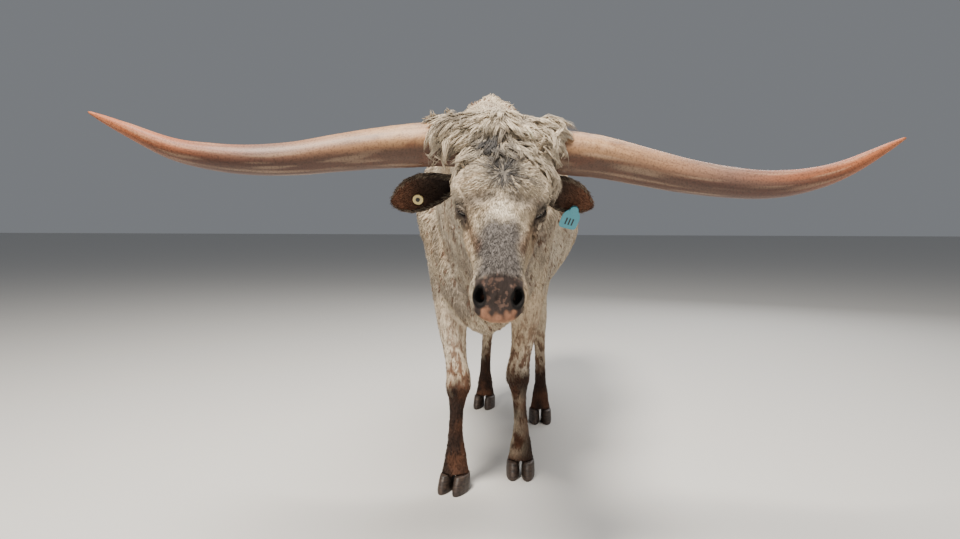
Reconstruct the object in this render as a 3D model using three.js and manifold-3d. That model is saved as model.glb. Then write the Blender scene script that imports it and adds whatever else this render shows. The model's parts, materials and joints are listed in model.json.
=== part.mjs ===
// A life-size still model of a Texas longhorn steer, standing with its head lowered.
// Millimetres, +Z up. The trunk lies along Y with the head towards -Y; +X is the animal's left.
// The body is divided into torso, neck, head, poll, tail, tail switch, four legs, eight hooves,
// two ears, two eyes, two horns and two ear tags, each a closed solid of its own.
import * as THREE from "three";
import { mergeVertices } from "three/addons/utils/BufferGeometryUtils.js";
import Module from "manifold-3d";

const wasm = await Module();
wasm.setup();

// Driving dimensions of the animal.
const WITHERS = 1440; // floor to the top of the shoulders
const HIPS = 1418; // floor to the top of the hip bones
const BRISKET = 566; // floor to the lowest point of the chest
const BELLY_HALF_WIDTH = 322;
const HEAD_LENGTH = 552; // poll to the end of the nose
const HORN_BASE_RADIUS = 58;
const GAP = 0.3; // clearance between neighbouring solids

// Stance: the middle of each foot on the floor, measured from a point midway between the front feet.
const FRONT_LEFT_FOOT = { x: 112, y: 89 };
const FRONT_RIGHT_FOOT = { x: -112, y: -89 };
const HIND_LEFT_FOOT = { x: 150, y: 842 };
const HIND_RIGHT_FOOT = { x: -145, y: 1070 };

// The poll is the crown of the head, on the line that joins the horn bases; the face starts above
// and behind it.
const POLL = new THREE.Vector3(106, -736, 1171);
const FACE_START = new THREE.Vector3(14, -10, 58); // from the poll
const HEAD_YAW = THREE.MathUtils.degToRad(6.5); // turned to the animal's left
const HEAD_ROLL = THREE.MathUtils.degToRad(1.9); // the left horn lies lower
const FACE_PITCH = THREE.MathUtils.degToRad(47); // face line below the horizontal

const COLOURS = {
  cream: 0xcdbfa6,
  grey: 0x9c9284,
  brown: 0x4a3226,
  horn: 0xc08e62,
  hoof: 0x2c2622,
  eye: 0x140e0a,
  yellow: 0xc9bd7c,
  teal: 0x2f87a0,
};

// Monotone cubic value of one named size at t, between stations sorted by `at`.
function sizeAt(stations, key, t) {
  const last = stations.length - 1;
  if (t <= stations[0].at) return stations[0][key];
  if (t >= stations[last].at) return stations[last][key];
  let i = 0;
  while (t > stations[i + 1].at) i++;
  const slope = (k) =>
    (stations[k + 1][key] - stations[k][key]) / (stations[k + 1].at - stations[k].at);
  const tangent = (k) => {
    if (k === 0) return slope(0);
    if (k === last) return slope(last - 1);
    const [before, after] = [slope(k - 1), slope(k)];
    return before * after <= 0 ? 0 : (2 * before * after) / (before + after);
  };
  const width = stations[i + 1].at - stations[i].at;
  const s = (t - stations[i].at) / width;
  const a = stations[i][key];
  const b = stations[i + 1][key];
  return (
    a * (2 * s ** 3 - 3 * s ** 2 + 1) +
    b * (3 * s ** 2 - 2 * s ** 3) +
    width * tangent(i) * (s ** 3 - 2 * s ** 2 + s) +
    width * tangent(i + 1) * (s ** 3 - s ** 2)
  );
}

// Every size of the stations at t, as one object.
function sizesAt(stations, t) {
  const sizes = {};
  for (const key of Object.keys(stations[0])) sizes[key] = sizeAt(stations, key, t);
  return sizes;
}

// A closed ring of points about a centre. half, up and down are its reach to the sides, above and
// below; roundUp and roundDown are superellipse powers; taper narrows the lower part.
function ring(centre, side, rise, sizes, count) {
  const { half, up, down, roundUp = 2, roundDown = 2, taper = 1 } = sizes;
  const points = [];
  for (let i = 0; i < count; i++) {
    const angle = (2 * Math.PI * i) / count;
    const [c, s] = [Math.cos(angle), Math.sin(angle)];
    const power = 2 / (s >= 0 ? roundUp : roundDown);
    const height = (s >= 0 ? up : down) * Math.sign(s) * Math.abs(s) ** power;
    const depth = Math.max(0, -height / down);
    const narrowing = 1 - (1 - taper) * depth ** 1.3;
    const width = half * Math.sign(c) * Math.abs(c) ** power * narrowing;
    points.push(centre.clone().addScaledVector(side, width).addScaledVector(rise, height));
  }
  return points;
}

// A closed solid from rings with equal counts, each end closed on its ring's middle.
function loft(rings) {
  const count = rings[0].length;
  const middle = (points) =>
    points.reduce((sum, p) => sum.add(p), new THREE.Vector3()).divideScalar(points.length);
  const points = [...rings.flat(), middle(rings[0]), middle(rings.at(-1))];
  const triangles = [];
  for (let r = 0; r + 1 < rings.length; r++)
    for (let i = 0; i < count; i++) {
      const [a, b] = [r * count + i, r * count + ((i + 1) % count)];
      triangles.push(a, b, a + count, b, b + count, a + count);
    }
  const last = (rings.length - 1) * count;
  for (let i = 0; i < count; i++) {
    const next = (i + 1) % count;
    triangles.push(next, i, points.length - 2, last + i, last + next, points.length - 1);
  }
  return solidFrom(points, triangles);
}

// Muscle and bone that stand proud of a loft: each swelling pushes the points near it by its own
// vector, fading with distance.
function swell(points, swellings) {
  for (const p of points) {
    const push = new THREE.Vector3();
    for (const { at, reach, push: own } of swellings) {
      const d = new THREE.Vector3().subVectors(p, at).divide(reach).length();
      if (d < 1) push.addScaledVector(own, (1 - d * d) ** 2);
    }
    p.add(push);
  }
  return points;
}

// The same swelling on both sides: x is measured outwards from the middle plane.
function bothSides(x, y, z, reach, push) {
  return [-1, 1].map((side) => ({
    at: new THREE.Vector3(side * x, y, z),
    reach: new THREE.Vector3(...reach),
    push: new THREE.Vector3(side * push[0], push[1], push[2]),
  }));
}

function solidFrom(points, triangles) {
  const make = (order) =>
    new wasm.Manifold(
      new wasm.Mesh({
        numProp: 3,
        vertProperties: new Float32Array(points.flatMap((p) => p.toArray())),
        triVerts: new Uint32Array(order),
      }),
    );
  const made = make(triangles);
  if (made.volume() > 0) return made;
  return make(triangles.map((_, i) => triangles[i - (i % 3) + [0, 2, 1][i % 3]]));
}

// A solid from one of three.js's own closed geometries, moved by a matrix.
function solidOf(geometry, matrix = new THREE.Matrix4()) {
  const bare = geometry.clone().applyMatrix4(matrix);
  bare.deleteAttribute("normal");
  bare.deleteAttribute("uv");
  const merged = mergeVertices(bare, 1e-3);
  const position = merged.getAttribute("position");
  const points = [];
  for (let i = 0; i < position.count; i++)
    points.push(new THREE.Vector3().fromBufferAttribute(position, i));
  return solidFrom(points, [...merged.index.array]);
}

function ellipsoid(x, y, z, rx, ry, rz, turn = new THREE.Euler(), detail = 10) {
  const matrix = new THREE.Matrix4().compose(
    new THREE.Vector3(x, y, z),
    new THREE.Quaternion().setFromEuler(turn),
    new THREE.Vector3(rx, ry, rz),
  );
  return solidOf(new THREE.SphereGeometry(1, detail, Math.round(detail * 0.7)), matrix);
}

function block(low, high) {
  const size = high.clone().sub(low);
  const middle = low.clone().add(high).multiplyScalar(0.5);
  const matrix = new THREE.Matrix4().setPosition(middle);
  return solidOf(new THREE.BoxGeometry(size.x, size.y, size.z), matrix);
}

function join(solids) {
  return solids.reduce((a, b) => a.add(b));
}

function cutAway(solid, tools) {
  return tools.reduce((a, b) => a.subtract(b), solid);
}

// The largest closed surface of a solid: fills hollows that joining seals and drops loose scraps.
function largest(solid) {
  const pieces = solid.decompose();
  pieces.sort((a, b) => b.volume() - a.volume());
  return pieces[0];
}

function moved(solid, matrix) {
  return solid.transform(matrix.elements);
}

// A seeded draw between low and high, so that every build is the same.
let seed = 20417;
function draw(low, high) {
  seed = (seed * 1664525 + 1013904223) % 4294967296;
  return low + ((high - low) * seed) / 4294967296;
}

const animal = new THREE.Group();
function addNode(name, solid, colour, roughness = 0.85) {
  const kept = largest(solid);
  const mesh = kept.getMesh();
  const geometry = new THREE.BufferGeometry();
  geometry.setAttribute("position", new THREE.BufferAttribute(mesh.vertProperties, 3));
  geometry.setIndex(new THREE.BufferAttribute(mesh.triVerts, 1));
  geometry.computeVertexNormals();
  const material = new THREE.MeshStandardMaterial({ color: colour, roughness, metalness: 0 });
  const node = new THREE.Mesh(geometry, material);
  node.name = name;
  animal.add(node);
}

const X = new THREE.Vector3(1, 0, 0);
const Y = new THREE.Vector3(0, 1, 0);
const Z = new THREE.Vector3(0, 0, 1);

// Trunk: rings across the body, from the breast to the buttocks.
const TRUNK = [
  { at: -238, top: 960, wide: 830, bottom: 720, half: 50, roundUp: 2, roundDown: 2 },
  { at: -215, top: 1060, wide: 830, bottom: 640, half: 110, roundUp: 2, roundDown: 1.9 },
  { at: -160, top: 1200, wide: 850, bottom: BRISKET + 8, half: 168, roundUp: 1.9, roundDown: 1.8 },
  { at: -60, top: 1372, wide: 880, bottom: BRISKET, half: 200, roundUp: 1.8, roundDown: 1.8 },
  { at: 70, top: WITHERS, wide: 900, bottom: BRISKET + 12, half: 222, roundUp: 1.6, roundDown: 1.8 },
  { at: 200, top: WITHERS - 22, wide: 915, bottom: BRISKET + 16, half: 262, roundUp: 1.75, roundDown: 1.75 },
  { at: 380, top: WITHERS - 52, wide: 925, bottom: BRISKET + 10, half: 306, roundUp: 1.95, roundDown: 1.55 },
  { at: 560, top: WITHERS - 58, wide: 925, bottom: BRISKET + 16, half: BELLY_HALF_WIDTH, roundUp: 2, roundDown: 1.5 },
  { at: 740, top: HIPS - 26, wide: 930, bottom: BRISKET + 52, half: 306, roundUp: 2.05, roundDown: 1.6 },
  { at: 890, top: HIPS - 12, wide: 950, bottom: BRISKET + 124, half: 262, roundUp: 2.2, roundDown: 1.8 },
  { at: 1030, top: HIPS, wide: 1010, bottom: BRISKET + 200, half: 236, roundUp: 2.4, roundDown: 2 },
  { at: 1180, top: HIPS - 8, wide: 1050, bottom: BRISKET + 290, half: 214, roundUp: 2.3, roundDown: 2 },
  { at: 1300, top: HIPS - 38, wide: 1080, bottom: BRISKET + 410, half: 168, roundUp: 2.2, roundDown: 2 },
  { at: 1362, top: HIPS - 100, wide: 1120, bottom: BRISKET + 510, half: 110, roundUp: 2, roundDown: 2 },
  { at: 1384, top: HIPS - 190, wide: 1130, bottom: BRISKET + 570, half: 40, roundUp: 2, roundDown: 2 },
];
const TRUNK_RINGS = 26;
const TRUNK_SIDES = 26;

// Hip bones, pin bones, the fold of the flank, the ribs behind the shoulder and the navel flap.
const TRUNK_SWELLINGS = [
  ...bothSides(200, 1012, HIPS - 40, [90, 120, 110], [26, 0, 34]),
  ...bothSides(120, 1345, HIPS - 140, [90, 100, 110], [22, 22, 6]),
  ...bothSides(230, 890, 800, [110, 170, 170], [30, 0, -30]),
  ...bothSides(110, 1180, HIPS - 10, [110, 120, 60], [0, 0, -16]),
  { at: new THREE.Vector3(0, 660, BRISKET), reach: new THREE.Vector3(80, 170, 100), push: new THREE.Vector3(0, 0, -26) },
];

function trunk(grow) {
  const rings = [];
  const [front, back] = [TRUNK[0].at, TRUNK.at(-1).at];
  for (let i = 0; i <= TRUNK_RINGS; i++) {
    const y = front + ((back - front) * (1 - Math.cos((Math.PI * i) / TRUNK_RINGS))) / 2;
    const s = sizesAt(TRUNK, y);
    const sizes = { ...s, half: s.half + grow, up: s.top - s.wide + grow, down: s.wide - s.bottom + grow };
    const middle = new THREE.Vector3(0, y + grow * (2 * i / TRUNK_RINGS - 1), s.wide);
    const points = ring(middle, X, Z, sizes, TRUNK_SIDES);
    rings.push(swell(points, TRUNK_SWELLINGS));
  }
  return loft(rings);
}

// Legs: rings at heights above the floor, from the coronet up into the trunk. half is the reach to
// each side, up to the back and down to the front; x and y move the ring's middle, and foot says how
// far it follows its own foot in the stance.
const FRONT_LEG = [
  { at: 60, half: 55, up: 48, down: 56, x: 0, y: 6, foot: 1 },
  { at: 84, half: 47, up: 44, down: 46, x: 0, y: 10, foot: 1 },
  { at: 132, half: 41, up: 46, down: 40, x: 0, y: 16, foot: 1 },
  { at: 182, half: 31, up: 36, down: 32, x: 0, y: 8, foot: 0.99 },
  { at: 270, half: 28, up: 33, down: 29, x: -4, y: 2, foot: 0.97 },
  { at: 325, half: 34, up: 38, down: 36, x: -8, y: 0, foot: 0.95 },
  { at: 378, half: 50, up: 45, down: 48, x: -12, y: 0, foot: 0.94 },
  { at: 420, half: 47, up: 44, down: 44, x: -10, y: 4, foot: 0.9 },
  { at: 470, half: 43, up: 46, down: 44, x: 0, y: 8, foot: 0.8 },
  { at: 560, half: 53, up: 62, down: 58, x: 14, y: 10, foot: 0.62 },
  { at: 660, half: 65, up: 92, down: 78, x: 22, y: 10, foot: 0.46 },
  { at: 760, half: 74, up: 134, down: 104, x: 28, y: 14, foot: 0.34 },
  { at: 870, half: 80, up: 160, down: 132, x: 38, y: -4, foot: 0.2 },
  { at: 985, half: 86, up: 176, down: 142, x: 54, y: -16, foot: 0 },
  { at: 1110, half: 74, up: 158, down: 136, x: 50, y: 6, foot: 0 },
  { at: 1240, half: 54, up: 126, down: 118, x: 14, y: 30, foot: 0 },
  { at: 1340, half: 34, up: 84, down: 80, x: -22, y: 50, foot: 0 },
  { at: 1400, half: 14, up: 36, down: 36, x: -56, y: 60, foot: 0 },
];
const HIND_LEG = [
  { at: 60, half: 52, up: 46, down: 54, x: 0, y: 6, foot: 1 },
  { at: 84, half: 45, up: 42, down: 44, x: 0, y: 12, foot: 1 },
  { at: 132, half: 40, up: 46, down: 38, x: 0, y: 22, foot: 1 },
  { at: 185, half: 30, up: 38, down: 32, x: 0, y: 26, foot: 0.98 },
  { at: 300, half: 28, up: 36, down: 32, x: -4, y: 52, foot: 0.92 },
  { at: 400, half: 33, up: 46, down: 38, x: -10, y: 76, foot: 0.86 },
  { at: 475, half: 46, up: 64, down: 50, x: -16, y: 96, foot: 0.82 },
  { at: 540, half: 43, up: 78, down: 56, x: -14, y: 104, foot: 0.76 },
  { at: 600, half: 38, up: 66, down: 64, x: -8, y: 92, foot: 0.68 },
  { at: 700, half: 54, up: 108, down: 100, x: 2, y: 66, foot: 0.5 },
  { at: 800, half: 72, up: 176, down: 158, x: 6, y: 52, foot: 0.32 },
  { at: 900, half: 88, up: 238, down: 190, x: 6, y: 72, foot: 0.14 },
  { at: 1010, half: 100, up: 264, down: 200, x: 2, y: 92, foot: 0 },
  { at: 1130, half: 100, up: 262, down: 190, x: 0, y: 108, foot: 0 },
  { at: 1240, half: 84, up: 212, down: 160, x: -14, y: 124, foot: 0 },
  { at: 1330, half: 56, up: 118, down: 120, x: -42, y: 130, foot: 0 },
  { at: 1385, half: 24, up: 60, down: 60, x: -80, y: 130, foot: 0 },
];
const FRONT_SHIFT = { x: 112, y: 0 }; // where the front leg stands without its step
const HIND_SHIFT = { x: 146, y: 960 };
const LEG_SIDES = 16;
const FRONT_LEG_CUT = 706; // where each leg is parted from the trunk
const HIND_LEG_CUT = 812;

function legRings(stations, shift, foot, side, heights, grow) {
  return heights.map((z) => {
    const s = sizesAt(stations, z);
    const x = side * (shift.x + s.x + s.foot * (Math.abs(foot.x) - shift.x));
    const y = shift.y + s.y + s.foot * (foot.y - shift.y);
    const sizes = { half: s.half + grow, up: s.up + grow, down: s.down + grow, roundUp: 2.1, roundDown: 2.1 };
    return ring(new THREE.Vector3(x, y, z), X, Y, sizes, LEG_SIDES);
  });
}

// The heights of the rings between two levels: closer together below, where the joints are.
function heightsBetween(low, high, steps) {
  return Array.from({ length: steps + 1 }, (_, i) => low + (high - low) * (i / steps) ** 1.15);
}

const LEGS = [
  { name: "front_left", stations: FRONT_LEG, shift: FRONT_SHIFT, foot: FRONT_LEFT_FOOT, side: 1, cut: FRONT_LEG_CUT, turn: 0.05 },
  { name: "front_right", stations: FRONT_LEG, shift: FRONT_SHIFT, foot: FRONT_RIGHT_FOOT, side: -1, cut: FRONT_LEG_CUT, turn: -0.2 },
  { name: "hind_left", stations: HIND_LEG, shift: HIND_SHIFT, foot: HIND_LEFT_FOOT, side: 1, cut: HIND_LEG_CUT, turn: 0.12 },
  { name: "hind_right", stations: HIND_LEG, shift: HIND_SHIFT, foot: HIND_RIGHT_FOOT, side: -1, cut: HIND_LEG_CUT, turn: -0.1 },
];

// The shoulder or thigh: the part of a leg that is one with the trunk.
function upperLeg(leg, grow) {
  const top = leg.stations.at(-1).at;
  const heights = heightsBetween(leg.cut + GAP - grow, top + grow, 11);
  return loft(legRings(leg.stations, leg.shift, leg.foot, leg.side, heights, grow));
}

// Below the cut, with two dewclaws behind the fetlock.
function lowerLeg(leg) {
  const heights = heightsBetween(60, leg.cut, 15);
  const shaft = loft(legRings(leg.stations, leg.shift, leg.foot, leg.side, heights, 0));
  const dewclaws = [-1, 1].map((s) =>
    ellipsoid(leg.foot.x + s * 22, leg.foot.y + 64, 104, 13, 15, 20, new THREE.Euler(0.5, 0, 0), 8),
  );
  return join([shaft, ...dewclaws]);
}

// One claw of the cloven foot: a sole flat on the floor, rising to the coronet.
function claw(leg, half) {
  const profile = [
    { z: 0, long: 62, wide: 26, y: -12 },
    { z: 16, long: 61, wide: 27, y: -11 },
    { z: 40, long: 56, wide: 26.5, y: -4 },
    { z: 60 - GAP, long: 49, wide: 25, y: 4 },
  ];
  const rings = profile.map(({ z, long, wide, y }) => {
    const points = [];
    for (let i = 0; i < 14; i++) {
      const angle = (2 * Math.PI * i) / 14;
      const toe = Math.sin(angle) < 0 ? 1.12 : 0.9;
      const inner = Math.sign(Math.cos(angle)) !== half ? 0.86 : 1;
      points.push(
        new THREE.Vector3(
          half * 27 + Math.cos(angle) * wide * inner * (toe > 1 ? 0.96 : 1),
          y + Math.sin(angle) * long * toe,
          z,
        ),
      );
    }
    return points;
  });
  const place = new THREE.Matrix4()
    .makeRotationZ(leg.turn)
    .setPosition(leg.foot.x, leg.foot.y, 0);
  return moved(loft(rings), place);
}

// Neck: sections square to a line that leaves the shoulders, bends to the animal's left and drops
// to the back of the head.
const NECK_LINE = new THREE.CatmullRomCurve3([
  new THREE.Vector3(0, 110, 1060),
  new THREE.Vector3(4, -80, 1062),
  new THREE.Vector3(22, -280, 1092),
  new THREE.Vector3(58, -470, 1112),
  new THREE.Vector3(94, -640, 1120),
]);
const NECK = [
  { at: 0, half: 205, up: 362, down: 380, roundUp: 1.7, roundDown: 1.8 },
  { at: 0.25, half: 190, up: 330, down: 420, roundUp: 1.75, roundDown: 1.75 },
  { at: 0.5, half: 152, up: 268, down: 360, roundUp: 1.8, roundDown: 1.6 },
  { at: 0.75, half: 116, up: 186, down: 226, roundUp: 1.9, roundDown: 1.7 },
  { at: 1, half: 96, up: 128, down: 140, roundUp: 2, roundDown: 2 },
];
const NECK_RINGS = 13;
const NECK_SIDES = 22;
const SHOULDER_CUT = -150; // the neck's parting plane crosses Y here at the height of the neck line

function neckLoft() {
  const rings = [];
  for (let i = 0; i <= NECK_RINGS; i++) {
    const t = i / NECK_RINGS;
    const forward = NECK_LINE.getTangent(t);
    const side = forward.clone().cross(Z).normalize().negate();
    const rise = side.clone().cross(forward).normalize();
    if (rise.z < 0) rise.negate();
    rings.push(ring(NECK_LINE.getPoint(t), side, rise, sizesAt(NECK, t), NECK_SIDES));
  }
  return loft(rings);
}

// All in front of, or behind, the plane that parts the neck from the shoulders. It leans back
// towards the withers.
function shoulderSide(front) {
  const lean = new THREE.Matrix4()
    .makeRotationX(-0.16)
    .setPosition(0, SHOULDER_CUT + (front ? -GAP / 2 : GAP / 2), 1060);
  const reach = 1200;
  const box = front
    ? block(new THREE.Vector3(-reach, -reach, -reach), new THREE.Vector3(reach, 0, reach))
    : block(new THREE.Vector3(-reach, 0, -reach), new THREE.Vector3(reach, reach, reach));
  return moved(box, lean);
}

// Head frame: u runs along the face from the poll towards the nose, n out of the forehead.
const CROWN = new THREE.Matrix4()
  .makeRotationZ(HEAD_YAW)
  .multiply(new THREE.Matrix4().makeRotationY(HEAD_ROLL))
  .setPosition(POLL);
const SKULL = CROWN.clone()
  .multiply(new THREE.Matrix4().makeTranslation(FACE_START))
  .multiply(new THREE.Matrix4().makeRotationX(FACE_PITCH));

// In the skull's own frame the face looks along +Z and the nose points along -Y. top and bottom are
// heights of the face and the jaw, wide is where the section is widest.
const HEAD = [
  { at: -34, top: -52, wide: -95, bottom: -150, half: 52, roundUp: 2, roundDown: 2, taper: 1 },
  { at: -22, top: -22, wide: -90, bottom: -190, half: 84, roundUp: 2.2, roundDown: 2.2, taper: 0.95 },
  { at: 12, top: -2, wide: -80, bottom: -226, half: 98, roundUp: 2.5, roundDown: 2.4, taper: 0.86 },
  { at: 70, top: 12, wide: -66, bottom: -246, half: 103, roundUp: 2.6, roundDown: 2.4, taper: 0.82 },
  { at: 140, top: 14, wide: -58, bottom: -258, half: 112, roundUp: 2.6, roundDown: 2.4, taper: 0.8 },
  { at: 205, top: 12, wide: -52, bottom: -252, half: 118, roundUp: 2.5, roundDown: 2.3, taper: 0.76 },
  { at: 252, top: 6, wide: -66, bottom: -236, half: 100, roundUp: 2.3, roundDown: 2.2, taper: 0.76 },
  { at: 296, top: -1, wide: -78, bottom: -214, half: 86, roundUp: 2.2, roundDown: 2.2, taper: 0.8 },
  { at: 380, top: -15, wide: -86, bottom: -180, half: 68, roundUp: 2.2, roundDown: 2.2, taper: 0.84 },
  { at: 435, top: -26, wide: -92, bottom: -162, half: 59, roundUp: 2.3, roundDown: 2.2, taper: 0.86 },
  { at: 468, top: -36, wide: -94, bottom: -148, half: 60, roundUp: 2.5, roundDown: 2.3, taper: 0.86 },
  { at: 496, top: -55, wide: -98, bottom: -138, half: 61, roundUp: 2.5, roundDown: 2.3, taper: 0.84 },
  { at: 522, top: -78, wide: -104, bottom: -128, half: 56, roundUp: 2.4, roundDown: 2.3, taper: 0.86 },
  { at: 542, top: -94, wide: -107, bottom: -119, half: 41, roundUp: 2.2, roundDown: 2.2, taper: 0.9 },
  { at: HEAD_LENGTH, top: -102, wide: -108, bottom: -114, half: 18, roundUp: 2, roundDown: 2, taper: 1 },
];
const HEAD_RINGS = 28;
const HEAD_SIDES = 26;
const EYE = { u: 254, x: 88, z: -64, radius: 20.5 };

const U = (u) => -u; // along the face, in the skull's own frame
const HEAD_SWELLINGS = [
  ...bothSides(98, U(214), -34, [62, 64, 62], [17, 0, 13]), // brow over each eye
  ...bothSides(92, U(270), -96, [50, 64, 30], [14, 0, -2]), // rim under the eye
  ...bothSides(80, U(318), -94, [60, 110, 34], [11, 0, 2]), // cheek bone
  ...bothSides(96, U(185), -168, [80, 120, 110], [20, 0, -4]), // cheek muscle
  ...bothSides(60, U(490), -66, [40, 50, 48], [8, -4, 5]), // nostril wings
  { at: new THREE.Vector3(0, U(505), -146), reach: new THREE.Vector3(60, 50, 40), push: new THREE.Vector3(0, 0, -7) },
  { at: new THREE.Vector3(0, U(440), -160), reach: new THREE.Vector3(60, 60, 40), push: new THREE.Vector3(0, 0, 7) },
];

// The outer form of the head, in the skull's frame. grow makes it larger, or smaller below 0.
function headForm(grow) {
  const rings = [];
  const [back, nose] = [HEAD[0].at, HEAD.at(-1).at];
  for (let i = 0; i <= HEAD_RINGS; i++) {
    const u = back + ((nose - back) * (1 - Math.cos((Math.PI * i) / HEAD_RINGS))) / 2;
    const s = sizesAt(HEAD, u);
    const sizes = { ...s, half: s.half + grow, up: s.top - s.wide + grow, down: s.wide - s.bottom + grow };
    const middle = new THREE.Vector3(0, U(u + grow * (2 * i / HEAD_RINGS - 1)), s.wide);
    const points = ring(middle, X, Z, sizes, HEAD_SIDES);
    rings.push(swell(points, HEAD_SWELLINGS));
  }
  const lids = [-1, 1].map((side) => {
    const r = EYE.radius + grow;
    return ellipsoid(side * EYE.x, U(EYE.u), EYE.z, r + 5, r + 10, r + 4);
  });
  return join([loft(rings), ...lids]);
}

// The head with its eye sockets, lid slits, nostrils and the line of the mouth.
function head() {
  const cuts = [];
  for (const side of [-1, 1]) {
    const socket = EYE.radius + GAP;
    cuts.push(ellipsoid(side * EYE.x, U(EYE.u), EYE.z, socket, socket, socket));
    const lean = new THREE.Euler(0.42, 0, 0);
    cuts.push(ellipsoid(side * (EYE.x + 23), U(EYE.u) - 3, EYE.z - 1, 22, 18, 5.5, lean));
    const flare = new THREE.Euler(-0.8, side * 0.25, 0);
    cuts.push(ellipsoid(side * 40, U(501), -69, 11.5, 26, 20, flare));
  }
  const slab = solidOf(
    new THREE.BoxGeometry(240, 190, 3),
    new THREE.Matrix4().makeRotationX(-0.12).setPosition(0, U(500), -115),
  );
  cuts.push(slab.subtract(headForm(-5.5)));
  return cutAway(headForm(0), cuts);
}

// Ears: a cupped leaf on a tube-like root. The hollow side faces forwards.
const EAR_LENGTH = 186;
const EAR = [
  { at: 0, wide: 24, cup: 30, thick: 12 },
  { at: 0.12, wide: 30, cup: 34, thick: 9 },
  { at: 0.3, wide: 43, cup: 32, thick: 6.5 },
  { at: 0.5, wide: 52, cup: 22, thick: 5.5 },
  { at: 0.7, wide: 49, cup: 13, thick: 5 },
  { at: 0.86, wide: 35, cup: 7, thick: 4.5 },
  { at: 0.96, wide: 17, cup: 3, thick: 4 },
  { at: 1, wide: 7, cup: 1, thick: 3 },
];
const EAR_HALF_POINTS = 7;
const EAR_RINGS = 10;

// In its own frame an ear points along +X, with its hollow towards -Y.
function ear(grow) {
  const rings = [];
  for (let i = 0; i <= EAR_RINGS; i++) {
    const t = i / EAR_RINGS;
    const { wide, cup, thick } = sizesAt(EAR, t);
    const droop = -18 * t * t;
    const edge = (v, inner) => {
      const depth = cup * (1 - v * v) - cup * 0.5;
      const wall = (thick / 2) * (1 - 0.55 * v * v) + grow;
      return new THREE.Vector3(
        t * EAR_LENGTH,
        depth + (inner ? -wall : wall),
        v * (wide + grow) + droop,
      );
    };
    const points = [];
    for (let k = 0; k < EAR_HALF_POINTS; k++)
      points.push(edge(-1 + (2 * (k + 0.2)) / (EAR_HALF_POINTS - 0.6), false));
    for (let k = EAR_HALF_POINTS - 1; k >= 0; k--)
      points.push(edge(-1 + (2 * (k + 0.2)) / (EAR_HALF_POINTS - 0.6), true));
    rings.push(points);
  }
  return loft(rings);
}

// Ears grow behind and below the horns. turn.z swings one forwards, turn.y drops it, turn.x rolls
// its hollow.
const EARS = {
  left: { at: new THREE.Vector3(92, 52, -92), turn: new THREE.Euler(0.55, 0.26, 0.02) },
  right: { at: new THREE.Vector3(104, 50, -99), turn: new THREE.Euler(0.3, 0.24, 0.06) },
};
function earMatrix(which) {
  const { at, turn } = EARS[which];
  const own = new THREE.Matrix4().makeRotationFromEuler(turn).setPosition(at);
  const mirror = new THREE.Matrix4().makeScale(which === "left" ? 1 : -1, 1, 1);
  return CROWN.clone().multiply(mirror).multiply(own);
}
function placedEar(which, grow) {
  const own = ear(grow);
  return moved(own, earMatrix(which));
}

// Horns: a line in the crown's frame (out, back, up) and a radius along it.
const HORN_LINES = {
  left: [
    [100, 4, -1],
    [180, 4, -10],
    [271, 0, -19],
    [377, -10, -40],
    [482, -24, -61],
    [590, -38, -75],
    [695, -44, -78],
    [800, -40, -62],
    [905, -26, -26],
    [1060, 4, 56],
  ],
  right: [
    [100, 4, 2],
    [175, 4, 0],
    [300, -2, -14],
    [414, -16, -32],
    [519, -30, -50],
    [625, -42, -58],
    [722, -44, -54],
    [835, -38, -36],
    [965, -18, 12],
    [1078, 8, 56],
  ],
};
const HORN = [
  { at: 0, radius: HORN_BASE_RADIUS },
  { at: 0.12, radius: HORN_BASE_RADIUS - 1 },
  { at: 0.22, radius: HORN_BASE_RADIUS - 5 },
  { at: 0.32, radius: HORN_BASE_RADIUS - 9.5 },
  { at: 0.43, radius: HORN_BASE_RADIUS - 15 },
  { at: 0.54, radius: HORN_BASE_RADIUS - 19.5 },
  { at: 0.64, radius: HORN_BASE_RADIUS - 23.5 },
  { at: 0.75, radius: HORN_BASE_RADIUS - 31 },
  { at: 0.87, radius: HORN_BASE_RADIUS - 40 },
  { at: 0.95, radius: HORN_BASE_RADIUS - 48 },
  { at: 1, radius: 3 },
];
const HORN_SIDES = 14;
const HORN_RINGS = 22;

function horn(which, grow) {
  const side = which === "left" ? 1 : -1;
  const line = new THREE.CatmullRomCurve3(
    HORN_LINES[which].map(([out, back, up]) => new THREE.Vector3(side * out, back, up)),
  );
  const rings = [];
  for (let i = 0; i <= HORN_RINGS; i++) {
    const t = i / HORN_RINGS;
    const forward = line.getTangentAt(t);
    const across = forward.clone().cross(Z).normalize();
    const rise = across.clone().cross(forward).normalize();
    const radius = sizeAt(HORN, "radius", t) + grow;
    const start = line.getPointAt(t);
    if (i === 0) start.x -= side * grow;
    rings.push(ring(start, across, rise, { half: radius * 1.04, up: radius, down: radius }, HORN_SIDES));
  }
  return moved(loft(rings), CROWN);
}

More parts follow.
